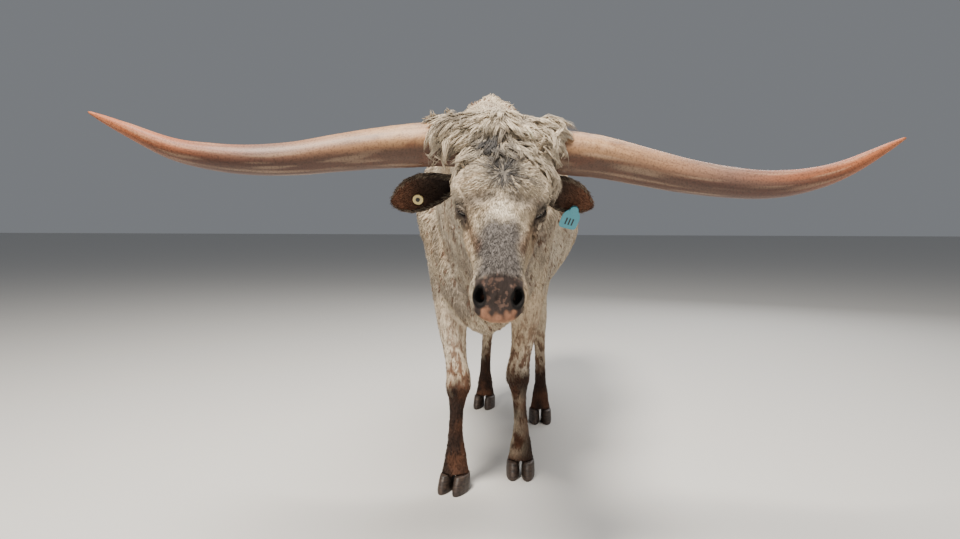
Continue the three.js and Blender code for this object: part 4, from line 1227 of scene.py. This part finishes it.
def scatter(count, weights):
    """Roots spread evenly over the triangles that have a weight, each with its normal and region."""
    picked = pick_triangles(areas * weights, int(count * THIN))
    a, b = rng.random((2, len(picked)))
    flip = a + b > 1
    a[flip], b[flip] = 1 - a[flip], 1 - b[flip]
    w = np.column_stack([1 - a - b, a, b])[..., None]
    roots = (skin_points[skin_tris[picked]] * w).sum(axis=1)
    N = unit((skin_normals[skin_tris[picked]] * w).sum(axis=1))
    return roots, N, centre_region[picked]


def varied(colours, spread):
    """Colours made a little lighter or darker, each by its own amount."""
    return colours * (1 + (rng.random(len(colours)) - 0.5) * spread)[:, None]


def short_coat(name, count, weights, length, width, lift, spread=0.3):
    roots, N, region = scatter(count, weights)
    lie = lie_of(roots, N, region)
    n = len(roots)
    long = length * rng.uniform(0.75, 1.25, n)
    lifts = lift * rng.uniform(0.6, 1.4, n)
    curl = rng.uniform(-0.35, 0.35, n)
    path = tuft_paths(roots, N, lie, long, lifts, lift * 1.5, curl, 2)
    colours = varied(hide_colour(roots, region), spread)
    widths = width * rng.uniform(0.7, 1.3, n)
    tufts(name, path, N, widths, np.full(n, width * 0.3), colours, unwrap(roots, region))


# %% [markdown]
# On the body the hair is about 25 mm long and lies nearly flat; on the legs it is about 15 mm. The
# counts keep every piece under 200,000 triangles and the whole animal under two million.

# %% Coat of the trunk, neck and legs
neck_part = (centre_region == TRUNK) & (centres[:, 1] < BODY[1] - 0.02)
trunk_part = (centre_region == TRUNK) & ~neck_part
leg_part = (centre_region >= FRONT_LEFT) & (centre_region <= HIND_RIGHT) & (centres[:, 2] > 0.055)
left = centres[:, 0] > BODY[0]
short_coat("coat_trunk_left", 13000, trunk_part & left, 0.028, 0.0055, 0.22)
short_coat("coat_trunk_right", 13000, trunk_part & ~left, 0.028, 0.0055, 0.22)
short_coat("coat_neck", 17000, neck_part, 0.024, 0.0044, 0.26)
leg_weight = leg_part * np.where(centres[:, 2] < 0.4, 1.5, 1.0)
short_coat("coat_legs", 14500, leg_weight, 0.0155, 0.0033, 0.20)
tail_part = centre_region == TAIL
short_coat("coat_tail", 2500, tail_part, 0.022, 0.0030, 0.25)

# %% [markdown]
# On the head the tufts are finer. None grow on the nose pad, in the nostrils or the slits of the
# eyes.

# %% Coat of the head
down = -centre_local[:, 1]
side_of = np.abs(centre_local[:, 0])
mirror_centre = folded(centre_local)
bare = (down > 0.462) & (side_of < 0.055) & (centre_local[:, 2] > -0.122)
bare |= np.linalg.norm(mirror_centre - NOSTRIL, axis=1) < 0.026
facing, _, up = eye_axes(1)
eye_way = unit(mirror_centre - EYE)
lid_zone = (eye_way @ facing > 0.45) & (np.abs(eye_way @ up) < 0.30)
bare |= lid_zone & (np.linalg.norm(mirror_centre - EYE, axis=1) < 0.036)
head_part = (centre_region == HEAD) & ~bare
from_eye = np.linalg.norm(mirror_centre - EYE, axis=1)
fore = smoothstep(0.25, 0.19, down) * smoothstep(-0.09, -0.03, centre_local[:, 2])
fore *= smoothstep(0.030, 0.055, from_eye)
head_left = centre_local[:, 0] > 0
for name, half in (("coat_head_left", head_left), ("coat_head_right", ~head_left)):
    face_weight = (head_part & half) * (1 - 0.8 * fore) * (1 + 0.6 * smoothstep(0.2, 0.45, down))
    short_coat(name, 13500, face_weight, 0.0135, 0.0023, 0.20, 0.35)


# %% [markdown]
# The forehead's hair is longer and radiates from the whorl, and it falls in dark and pale streaks.
# A streak must follow the hair, so its noise is read at the angle about the whorl and hardly at the
# distance from it.


# %% Coat of the forehead
def brow_colour(roots, region):
    local = to_skull(roots)
    out = local - WHORL
    spin = np.arctan2(out[:, 0], out[:, 1])
    reach = np.linalg.norm(out, axis=1)
    colour = hide_colour(roots, region)
    ray = noise(np.column_stack([spin * 0.3, reach * 0.12, np.zeros(len(spin))]), 0.045, 30)
    colour = mixed(colour, GREY * 1.3, smoothstep(0.5, 0.68, ray) * 0.65)
    colour = mixed(colour, PALE * 1.1, smoothstep(0.45, 0.3, ray) * 0.6)
    return mixed(colour, GREY * 0.7, bump(np.linalg.norm(out[:, :2] * [1, 0.7], axis=1), 0.055) * 0.9)


roots, N, region = scatter(15000, head_part * fore)
n = len(roots)
lie = lie_of(roots, N, region)
long = rng.uniform(0.020, 0.034, n)
beside = smoothstep(0.05, 0.09, np.abs(to_skull(roots)[:, 0]))
lift = rng.uniform(0.2, 0.5, n) * (1 - 0.55 * beside)
path = tuft_paths(roots, N, lie, long * (1 - 0.3 * beside), lift, 0.8, rng.uniform(-0.5, 0.5, n), 2)
tufts(
    "coat_forehead",
    path,
    N,
    rng.uniform(0.0018, 0.0032, n),
    np.full(n, 0.0008),
    varied(brow_colour(roots, region), 0.35),
    unwrap(roots, region),
)

# %% [markdown]
# The poll's hair is long, and it clumps in locks that hide the bases of the horns. Single hairs
# spread at random would look like mist. Each lock has a guide that leaves the parting for its horn,
# and many strands that start about the guide's root and close on its tip.


# %% Locks of the poll
def poll_lie(roots, N):
    crown = (roots - POLL) @ CROWN_TURN
    side = np.sign(crown[:, 0] + rng.normal(0, 0.008, len(roots)))
    out = side * np.clip(0.30 + np.abs(crown[:, 0]) / 0.075, 0, 1.3)
    front = smoothstep(0.01, -0.045, crown[:, 1])
    sink_rate = 0.25 + 0.55 * front
    flow = np.column_stack([out, -0.25 * front - 0.1, -sink_rate])
    flow += rng.normal(0, 0.40, flow.shape)
    return laid_flat(flow @ CROWN_TURN.T, N)


def poll_colour(roots):
    crown = (roots - POLL) @ CROWN_TURN
    colour = np.tile(CREAM * 1.02, (len(roots), 1))
    colour = mixed(colour, PALE * 1.05, noise(roots, 0.02, 31) * 0.8)
    # Painted shade: the middle of the poll, in its recess, is darkened to grey.
    middle = bump(np.linalg.norm((crown - [-0.006, -0.07, 0.0]) / [1, 1.2, 1.15], axis=1), 0.068)
    colour = mixed(colour, GREY * 0.75, middle * 1.1)
    ends = smoothstep(0.07, 0.13, np.abs(crown[:, 0])) * smoothstep(0.04, -0.02, crown[:, 2])
    colour = mixed(colour, ROAN, ends * 0.35)
    return mixed(colour, ROAN * 0.8, smoothstep(0.55, 0.8, noise(roots, 0.014, 32)) * 0.6)


LOCKS = 450
STRANDS = 19
LOCK_LENGTH = 0.054
LOCK_LIFT = 0.75
LOCK_REACH = 0.0085
LOCK_STEPS = 3


def lock_piece(name, weights):
    guides, N, region = scatter(LOCKS, weights)
    n = len(guides)
    lie = poll_lie(guides, N)
    long = LOCK_LENGTH * rng.uniform(0.7, 1.25, n)
    over_horn = smoothstep(0.085, 0.13, np.abs((guides - POLL) @ CROWN_TURN)[:, 0])
    long *= 1 + 0.35 * over_horn
    guides = guides + N * (0.016 * over_horn)[:, None]
    lifts = LOCK_LIFT * rng.uniform(0.55, 1.35, n)
    curl = rng.uniform(-1.0, 1.0, n)
    path = tuft_paths(guides, N, lie, long, lifts, LOCK_LIFT * 1.9, curl, LOCK_STEPS, sag=0.25)
    colour = varied(poll_colour(guides), 0.45)
    uv = unwrap(guides, region)
    pick = np.repeat(np.arange(n), STRANDS)
    m = len(pick)
    offset = np.cross(N, lie)[pick] * rng.normal(0, LOCK_REACH * 0.55, m)[:, None]
    offset += lie[pick] * rng.normal(0, LOCK_REACH * 0.8, m)[:, None]
    t = np.linspace(0, 1, LOCK_STEPS + 1)
    keep = 1 - 0.72 * t**1.2
    fine = path[pick] + offset[:, None, :] * keep[None, :, None]
    own = rng.uniform(0.72, 1.08, m)
    fine = fine[:, :1] + (fine - fine[:, :1]) * own[:, None, None]
    fine[:, 1:] += rng.normal(0, 0.0012, fine[:, 1:].shape)
    return tufts(
        name,
        fine,
        N[pick],
        rng.uniform(0.0022, 0.0040, m),
        np.full(m, 0.0012),
        varied(colour[pick], 0.3),
        uv[pick],
        sink=0.003,
        painted_tip_light=1.2,
    )


crown_centres = (centres - POLL) @ CROWN_TURN
beyond = np.abs(crown_centres[:, 0])
on_poll = (beyond < 0.140) & (crown_centres[:, 2] > -0.040 - 0.040 * smoothstep(0.07, 0.10, beyond))
on_poll &= (crown_centres[:, 1] > -0.10) & (crown_centres[:, 1] < 0.06)
poll_left = crown_centres[:, 0] > 0
for name, half in (("poll_locks_left", poll_left), ("poll_locks_right", ~poll_left)):
    weights = (on_poll & half) * (1 + 1.3 * smoothstep(0.07, 0.12, beyond))
    piece = lock_piece(name, weights)
    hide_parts("poll")

# %% [markdown]
# The switch is the tassel that ends the tail: hair of the same kind, rooted close about an upright
# line. Waves in a number that runs round that line gather it in bundles, some of them rust-brown.

# %% Switch of the tail
switch_low, switch_high = (np.array(c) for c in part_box("tail_switch"))
switch_top = np.array([*(switch_low[:2] + switch_high[:2]) / 2, switch_high[2] + 0.01])
drop = switch_high[2] - switch_low[2]
n = int(3600 * THIN)
spin = rng.uniform(0, math.tau, n)
share = rng.random(n) ** 1.4 * 0.62
out = np.column_stack([np.cos(spin), np.sin(spin), np.zeros(n)])
roots = switch_top - np.array([0, 0, drop]) * share[:, None] + out * (0.013 * rng.random(n) ** 0.5)[:, None]
long = np.minimum(rng.uniform(0.12, 0.2, n), drop * (1 - share) * rng.uniform(0.9, 1.0, n))
bundle = np.floor(spin / math.tau * 9 + share * 7) * 1.7
lie = unit(np.array([0, 0, -1]) + out * (0.10 + 0.08 * np.sin(bundle))[:, None])
path = tuft_paths(roots, out, lie, long, np.full(n, 0.18), 0.34, np.sin(bundle) * 0.35, 4)
colours = np.where((np.sin(bundle * 2.3) > 0.35)[:, None], RUST * 1.6, CREAM * 0.95)
spot = np.column_stack([np.full(n, 0.80), 0.69 + 0.02 * share])
widths = rng.uniform(0.002, 0.0035, n)
switch = tufts("switch_locks", path, out, widths, np.full(n, 0.001), varied(colours, 0.4), spot)
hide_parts("tail_switch")

# %% [markdown]
# ## Horns
#
# A longhorn's horns run out nearly level, dip, and turn up to the tips, and the two never match.
# Each is one loft along the solids' own middle line, finer than they are, with growth rings and
# grooves at the base that fade towards a smooth tip. A cone bent by a modifier would be evenly
# curved, which no horn is. Its upper side is pale with worn pale streaks and turns red-brown towards
# the tip; its underside is painted near black-brown, a painted shade under the lit upper side.

# %% Horn lofts
HORN_RINGS = 200
HORN_SIDES = 72
# points on each horn's middle line, in mm in the crown's frame
HORN_LINES = {
    "left": [
        [100, 4, -1], [180, 4, -10], [271, 0, -19], [377, -10, -40], [482, -24, -61],
        [590, -38, -75], [695, -44, -78], [800, -40, -62], [905, -26, -26], [1060, 4, 56],
    ],
    "right": [
        [100, 4, 2], [175, 4, 0], [300, -2, -14], [414, -16, -32], [519, -30, -50],
        [625, -42, -58], [722, -44, -54], [835, -38, -36], [965, -18, 12], [1078, 8, 56],
    ],
}
# how far along the horn, and its radius there in mm
HORN_RADII = [
    [0, 58], [0.12, 57], [0.22, 53], [0.32, 48.5], [0.43, 43], [0.54, 38.5],
    [0.64, 34.5], [0.75, 27], [0.87, 18], [0.95, 10], [0.99, 4.5], [1, 2.4],
]


def smooth_line(points, count):
    """Evenly spaced points on a smooth curve through the given ones, and how far along each is."""
    points = np.asarray(points, float)
    ends = np.vstack([2 * points[0] - points[1], points, 2 * points[-1] - points[-2]])
    fine = []
    for k in range(1, len(ends) - 2):
        a, b, c, d = ends[k - 1 : k + 3]
        for t in np.linspace(0, 1, 40, endpoint=False):
            square = (2 * a - 5 * b + 4 * c - d) * t**2
            cube = (3 * b - a - 3 * c + d) * t**3
            fine.append(0.5 * (2 * b + (c - a) * t + square + cube))
    fine = np.array([*fine, points[-1]])
    length = np.r_[0, np.cumsum(np.linalg.norm(np.diff(fine, axis=0), axis=1))]
    share = np.linspace(0, 1, count)
    line = np.column_stack([np.interp(share * length[-1], length, fine[:, k]) for k in range(3)])
    return line, share


def frames_along(line):
    """The way along a line at each of its points, and the ways across it and up from it."""
    along = unit(np.gradient(line, axis=0))
    side = unit(np.cross(along, [0.0, 0.0, 1.0]))
    return along, side, np.cross(side, along)


def make_horn(side_name):
    sign = 1 if side_name == "left" else -1
    line, share = smooth_line(HORN_LINES[side_name], HORN_RINGS)
    radius = np.interp(share, *np.array(HORN_RADII).T)
    _, across, up = frames_along(line)
    around = math.tau * np.arange(HORN_SIDES) / HORN_SIDES
    rim = np.column_stack([np.cos(around), np.sin(around)])
    rings = []
    for k in range(HORN_RINGS):
        place = np.column_stack([rim * 0.05, np.full(HORN_SIDES, share[k])])
        base = smoothstep(0.42, 0.03, share[k])
        wrinkle = (noise(place * [0.5, 0.5, 1], 0.013, 40) - 0.5) * 2.4 * base
        groove = (noise(place * [1, 1, 0.07], 0.012, 41) - 0.5) * (1.3 * base + 0.35)
        swell = radius[k] + (wrinkle + groove) * min(1, radius[k] / 25)
        wide = across[k] * rim[:, :1] * 1.03 * swell[:, None]
        rings.append(line[k] + wide + up[k] * rim[:, 1:] * swell[:, None])
    rings = [(ring * [sign, 1, 1]) * MM for ring in rings]
    vertices, faces = loft([from_crown(ring) for ring in rings])
    horn = add_piece("horn_" + side_name + "_piece", vertices, faces)
    steps = np.r_[np.repeat(share, HORN_SIDES), 0, 1]
    spin = np.r_[np.tile(around, len(share)), 0, 0]
    return horn, steps, spin


# how far along the horn, and its colour there on the upper side
HORN_COLOURS = [
    (0.0, (0.36, 0.185, 0.080)),
    (0.16, (0.42, 0.235, 0.110)),
    (0.32, (0.33, 0.175, 0.090)),
    (0.50, (0.20, 0.105, 0.072)),
    (0.66, (0.28, 0.100, 0.048)),
    (0.84, (0.38, 0.120, 0.046)),
    (1.0, (0.44, 0.135, 0.052)),
]


# the near black-brown of the painted shade on each horn's underside
HORN_PAINTED_SHADE = [0.050, 0.015, 0.008]
HORN_RUST = [0.11, 0.036, 0.014]
HORN_GRAIN = [0.10, 0.055, 0.035]
HORN_PALE = [0.60, 0.44, 0.29]


def horn_colour(steps, spin, seed):
    stops = np.array([s for s, _ in HORN_COLOURS])
    shades = np.array([c for _, c in HORN_COLOURS])
    colour = np.column_stack([np.interp(steps, stops, shades[:, k]) for k in range(3)])
    # Painted shade: the underside is darkened nearly to black-brown, so the upper side looks lit from
    # above.
    below = smoothstep(0.45, -0.35, np.sin(spin)) * smoothstep(0.98, 0.6, steps)
    colour = mixed(colour, HORN_PAINTED_SHADE, below * 0.92)
    place = np.column_stack([np.cos(spin) * 0.05, np.sin(spin) * 0.05, steps])
    rust = smoothstep(0.5, 0.75, noise(place * [1, 1, 0.6], 0.02, seed))
    colour = mixed(colour, HORN_RUST, rust * smoothstep(0.4, 0.05, steps) * 0.7)
    grain = smoothstep(0.45, 0.8, noise(place * [1, 1, 0.06], 0.006, seed + 1))
    colour = mixed(colour, HORN_GRAIN, grain * 0.38)
    pale = smoothstep(0.55, 0.85, noise(place * [1, 1, 0.08], 0.009, seed + 2))
    return mixed(colour, HORN_PALE, pale * 0.22)


def horn_material():
    material, tree, shader = new_material("horn", 0.5)
    pits = object_noise(tree, 220, detail=5)
    shade = ramp(tree, pits.outputs["Fac"], [(0.34, (0.62, 0.58, 0.55)), (0.52, (1.05, 1.05, 1.05))])
    show_painted(tree, shader, shade)
    raise_by(tree, shader, pits.outputs["Fac"], 0.35, 0.001)
    return material


HORN = horn_material()
for k, side_name in enumerate(["left", "right"]):
    horn, steps, spin = make_horn(side_name)
    put_colours(horn.data, horn_colour(steps, spin, 50 + 10 * k))
    horn.data.materials.append(HORN)
    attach(horn, "root")
    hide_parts("horn_" + side_name)
print("horns made")

# %% [markdown]
# ## Ears
#
# An ear is a folded leaf: a thick back, a deep hollow that opens forwards and a rim that curls in.
# Bending a flat sheet gives a leaf of one thickness. A loft whose ring goes out along the back and
# comes home through the hollow has a wall, and it can thicken towards the root.

# %% Ear lofts
EAR_LENGTH = 186
EAR_RINGS = 56
EAR_HALF_RING = 26
# how far along the ear, and its half width, the depth of its back and its wall in mm
EAR_STATIONS = [
    [0, 24, 30, 12], [0.12, 30, 34, 9], [0.3, 43, 32, 6.5], [0.5, 52, 22, 5.5],
    [0.7, 49, 13, 5], [0.86, 35, 7, 4.2], [0.96, 17, 3, 3], [1, 6, 1, 2],
]
# each ear's root in mm, and its turns about X, Y and Z in radians
EAR_PLACES = {
    "left": ([92, 52, -92], (0.55, 0.26, 0.02)),
    "right": ([104, 50, -99], (0.3, 0.24, 0.06)),
}


def ear_frame(side_name):
    place, (a, b, c) = EAR_PLACES[side_name]
    matrix = Matrix.Rotation(a, 3, "X") @ Matrix.Rotation(b, 3, "Y") @ Matrix.Rotation(c, 3, "Z")
    return np.array(matrix), np.array(place, float)


def from_ear(points, side_name):
    matrix, place = ear_frame(side_name)
    local = np.asarray(points) @ matrix.T + place
    return from_crown(local * [1 if side_name == "left" else -1, 1, 1] * MM)


def make_ear(side_name):
    stations = np.array(EAR_STATIONS).T
    rings, steps, inside = [], [], []
    for t in np.linspace(0, 1, EAR_RINGS):
        wide, cup, thick = (np.interp(t, stations[0], row) for row in stations[1:])
        reach = np.full(EAR_HALF_RING, t * EAR_LENGTH)
        back = np.linspace(0, math.pi, EAR_HALF_RING)
        front = back[::-1]
        droop = -18 * t * t
        outer = np.column_stack([reach, cup * np.sin(back), droop + wide * np.cos(back)])
        inner_wide, inner_cup = wide - thick * 0.9, max(cup - thick, -1)
        curl = 0.5 + 0.5 * np.sin(front)
        hollow = inner_cup * np.sin(front) * curl - 1.5
        inner = np.column_stack([reach, hollow, droop + inner_wide * np.cos(front)])
        rings.append(np.vstack([outer, inner]))
        steps.extend([t] * 2 * EAR_HALF_RING)
        inside.extend([0] * EAR_HALF_RING + [1] * EAR_HALF_RING)
    rings = [from_ear(ring, side_name) for ring in rings]
    vertices, faces = loft(rings)
    ear = add_piece("ear_" + side_name + "_piece", vertices, faces)
    return ear, np.array([*steps, 0, 1]), np.array([*inside, 0, 0])


EAR_DARK = np.array([0.045, 0.026, 0.018])
EAR_RED = [0.16, 0.07, 0.04]


def ear_colour(P, steps, inside, seed):
    colour = np.tile(EAR_DARK, (len(P), 1))
    patch = smoothstep(0.45, 0.75, noise(P, 0.03, seed))
    colour = mixed(colour, CREAM * 0.8, patch * (1 - inside) * 0.35)
    colour = mixed(colour, EAR_RED, inside * smoothstep(0.45, 0.9, steps) * 0.8)
    # Painted shade: near black deep in the hollow, towards the root.
    return mixed(colour, INK, inside * smoothstep(0.55, 0.1, steps) * 0.7)


# %% [markdown]
# Ears are dark and velvety, redder towards the hollow's tip, and painted near black deep in the
# hollow by the root, as painted shade. Their hair points to the tip, and a fringe grows along the
# rim, which is found as the triangles that touch both back and hollow.


# %% Coat of the ears
def ear_coat(ear, side_name, steps, inside):
    """Short hair over the ear, longest along its rim and in the mouth of the hollow."""
    points, normals, tris = positions(ear.data), vertex_normals(ear.data), triangles(ear.data)
    a, b, c = points[tris[:, 0]], points[tris[:, 1]], points[tris[:, 2]]
    share = np.linalg.norm(np.cross(b - a, c - a), axis=1)
    edge = np.ptp(inside[tris], axis=1) > 0
    share *= 1 + 9 * edge
    n = int(4200 * THIN)
    picked = pick_triangles(share, n)
    w = rng.dirichlet([1, 1, 1], n)[..., None]
    roots = (points[tris[picked]] * w).sum(axis=1)
    N = unit((normals[tris[picked]] * w).sum(axis=1))
    t = steps[tris[picked]].mean(axis=1)
    tip = from_ear([[EAR_LENGTH * 1.15, -2, -24]], side_name)
    lie = laid_flat(unit(tip - roots) + rng.normal(0, 0.22, roots.shape), N)
    rim = edge[picked]
    long = rng.uniform(0.008, 0.013, n) * (1 + 0.5 * rim)
    path = tuft_paths(roots, N, lie, long, rng.uniform(0.1, 0.35, n), 0.3, rng.uniform(-0.3, 0.3, n), 2)
    colours = ear_colour(roots, t, inside[tris[picked]].mean(axis=1), 60)
    colours = mixed(colours, CREAM * 0.55, rim * (rng.random(n) < 0.35) * 0.6)
    spot = np.column_stack([0.58 + 0.18 * t, 0.665 + 0.006 * rng.random(n)])
    widths = rng.uniform(0.0012, 0.002, n)
    colours = varied(colours, 0.5)
    tufts("coat_ear_" + side_name, path, N, widths, np.full(n, 0.0005), colours, spot, sink=0.0008)


for k, side_name in enumerate(["left", "right"]):
    ear, steps, inside = make_ear(side_name)
    put_colours(ear.data, ear_colour(positions(ear.data), steps, inside, 60 + k))
    ear.data.materials.append(HIDE)
    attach(ear, "root")
    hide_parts("ear_" + side_name)
    ear_coat(ear, side_name, steps, inside)
print("ears made")

# %% [markdown]
# ## Eyes
#
# Each eye is a whole ball behind its lids, nearly black and wet. Only a glint of it shows through
# the slit, so an iris and a pupil would never be seen; what shows is the gloss, which the shader's
# clear coat gives.


# %% Eyeballs
def eye_material():
    material, _, shader = new_material("eye", 0.06, (0.012, 0.007, 0.005))
    shader.inputs["Coat Weight"].default_value = 1.0
    return material


EYEBALL = eye_material()
for side_name, sign in (("left", 1), ("right", -1)):
    bm = bmesh.new()
    bmesh.ops.create_uvsphere(bm, u_segments=40, v_segments=24, radius=EYE_RADIUS)
    mesh = bpy.data.meshes.new("eyeball_" + side_name)
    bm.to_mesh(mesh)
    bm.free()
    set_positions(mesh, positions(mesh) + from_skull(EYE * [sign, 1, 1]))
    ball = put_in_scene("eyeball_" + side_name, mesh)
    shade_smooth(ball)
    mesh.materials.append(EYEBALL)
    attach(ball, "root")
    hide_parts("eye_" + side_name)
print("eyes made")

# %% [markdown]
# ## Hooves
#
# Each foot ends in two claws of hard, dull horn. They keep the solids' shape; a fine remesh and a
# little smoothing round the edges, and level waves ring them with growth lines. Noise stretched
# sideways makes the rings uneven, as they are on a living foot.


# %% Hooves
def hoof_material():
    material, tree, shader = new_material("hoof", 0.55)
    grain = object_noise(tree, 60, (1, 1, 3), 4)
    shade = ramp(tree, grain.outputs["Fac"], [(0.3, (0.012, 0.009, 0.008)), (0.75, (0.085, 0.055, 0.040))])
    tree.links.new(shade.outputs["Color"], shader.inputs["Base Color"])
    raise_by(tree, shader, grain.outputs["Fac"], 0.3, 0.002)
    return material


def copy_node(name, piece):
    """A copy of a node's mesh with its place applied, as a new object."""
    mesh = nodes[name].data.copy()
    mesh.transform(nodes[name].matrix_world)
    return put_in_scene(piece, mesh)


HOOF = hoof_material()
for name in sorted(n for n in nodes if n.startswith("hoof_")):
    claw = copy_node(name, name + "_piece")
    modified(claw, "REMESH", mode="VOXEL", voxel_size=0.003)
    modified(claw, "SMOOTH", factor=0.5, iterations=6)
    points, normals = positions(claw.data), vertex_normals(claw.data)
    wave = noise(points * [0.25, 0.25, 1], 0.006, 70) - 0.5
    points += normals * (wave * 0.0016 + 0.0004)[:, None]
    points[:, 2] = np.maximum(points[:, 2], 0.0002)
    set_positions(claw.data, points)
    claw.data.materials.clear()
    claw.data.materials.append(HOOF)
    shade_smooth(claw)
    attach(claw, "root")
    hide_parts(name)
print("hooves made")

# %% [markdown]
# ## Ear tags
#
# A round button in one ear and a hanging plate in the other, both of moulded plastic, so their
# edges are rounded by a small bevel. Their marks are raised a little from the surface: a dark
# centre on the button and three plain bars on the plate. Painted marks would need a texture.


# %% Tags
def tag_piece(name, material, bevel):
    piece = copy_node(name, name + "_piece")
    modified(piece, "BEVEL", width=bevel, segments=2, limit_method="ANGLE")
    piece.data.materials.clear()
    piece.data.materials.append(material)
    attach(piece, "root")
    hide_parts(name)


YELLOW_TAG, _, _ = new_material("tag_yellow", 0.45, (0.62, 0.50, 0.22))
BLUE_TAG, _, _ = new_material("tag_blue", 0.45, (0.055, 0.26, 0.33))
tag_piece("ear_button", YELLOW_TAG, 0.0006)
tag_piece("ear_tag", BLUE_TAG, 0.0005)
MARK, _, _ = new_material("tag_mark", 0.6, (0.012, 0.012, 0.014))


def mark_piece(name, outline, front, back, side_name):
    """A dark raised mark on a tag: an outline in the ear's X and Z, between two depths in Y."""
    rings = [[[x, y, z] for x, z in outline] for y in (back, front)]
    vertices, faces = loft([from_ear(ring, side_name) for ring in rings])
    piece = add_piece(name, vertices, faces)
    piece.data.polygons.foreach_set("use_smooth", [False] * len(piece.data.polygons))
    piece.data.materials.append(MARK)
    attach(piece, "root")


around = math.tau * np.arange(24) / 24
centre_rim = np.column_stack([112 + 6 * np.cos(around), -20 + 6 * np.sin(around)])
mark_piece("button_centre", centre_rim, -14.2, -11.5, "right")
for k, x in enumerate((129, 138, 147)):
    bar = [[x - 2, -62], [x + 2, -62], [x + 2, -84], [x - 2, -84]]
    mark_piece("tag_bar_" + str(k + 1), bar, -18.8, -17.8, "left")
print("tags made")

# %% [markdown]
# ## Stage
#
# A plain pale floor is wide enough to run past the edge of the picture. It also throws soft light
# up under the belly and the horns, as pale ground does.

# %% Floor
FLOOR_HALF_WIDTH = 30
bm = bmesh.new()
bmesh.ops.create_grid(bm, x_segments=1, y_segments=1, size=FLOOR_HALF_WIDTH)
floor_mesh = bpy.data.meshes.new("floor")
bm.to_mesh(floor_mesh)
bm.free()
floor = put_in_scene("floor", floor_mesh)
FLOOR, _, _ = new_material("floor", 0.9, (0.62, 0.61, 0.59))
floor_mesh.materials.append(FLOOR)
print("floor", 2 * FLOOR_HALF_WIDTH, "m wide")

# %% [markdown]
# A museum's picture is lit softly: a warm key from high on the animal's right, a weak fill near the
# camera, a broad light overhead that draws the back and the tops of the horns, and a little light
# from behind to part the animal from the ground. One sun lamp would be simpler, but it would cut the
# face into glare and black.


# %% Lights
def area_light(name, place, target, size, power, colour=(1, 1, 1)):
    light = bpy.data.lights.new(name, "AREA")
    light.shape = "DISK"
    light.size = size
    light.energy = power
    light.color = colour
    obj = put_in_scene(name, light)
    aim = Vector(target) - Vector(place)
    obj.matrix_world = Matrix.Translation(place) @ aim.to_track_quat("-Z", "Y").to_matrix().to_4x4()
    return obj


aim_point = (0, -0.4, 1.0)
lights = [
    area_light("key", (-1.0, -2.4, 5.0), aim_point, 1.4, 560, (1, 0.93, 0.83)),
    area_light("fill", (2.6, -4.4, 1.4), aim_point, 3.0, 55, (1, 0.94, 0.86)),
    area_light("top", (0.4, 0.9, 5.0), aim_point, 3.0, 190, (1, 0.96, 0.9)),
    area_light("back", (1.8, 4.5, 3.0), aim_point, 2.5, 80),
]
world = bpy.data.worlds.new("studio")
world.use_nodes = True
world.node_tree.nodes["Background"].inputs["Color"].default_value = (0.80, 0.84, 0.90, 1)
world.node_tree.nodes["Background"].inputs["Strength"].default_value = 0.24
bpy.context.scene.world = world
print("lights:", len(lights))

# %% [markdown]
# The camera stands a metre above the ground, a little to the animal's left, and looks slightly down.
# Its lens sees as wide as a phone's, which is why the near nose and horns look large and the legs
# draw together.

# %% Camera
LENS = 28
SENSOR_WIDTH = 36
CAMERA_PLACE = np.array([0.3126, -2.6956, 1.0])
CAMERA_DIP = 4.4
CAMERA_TURN = 7.3
camera_data = bpy.data.cameras.new("camera")
camera_data.lens = LENS
camera_data.sensor_width = SENSOR_WIDTH
camera = put_in_scene("camera", camera_data)
camera.location = Vector(BODY + CAMERA_PLACE)
camera.rotation_euler = (math.radians(90 - CAMERA_DIP), 0, math.radians(CAMERA_TURN))
bpy.context.scene.camera = camera
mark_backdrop(floor, *lights, camera)
print("camera at", [round(c, 3) for c in camera.location])

# %% [markdown]
# ## Sizes and finish
#
# The dressed animal's overall size is printed.

# %% Print the size
low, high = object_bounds()
print("model spans", [round(c, 3) for c in high - low])
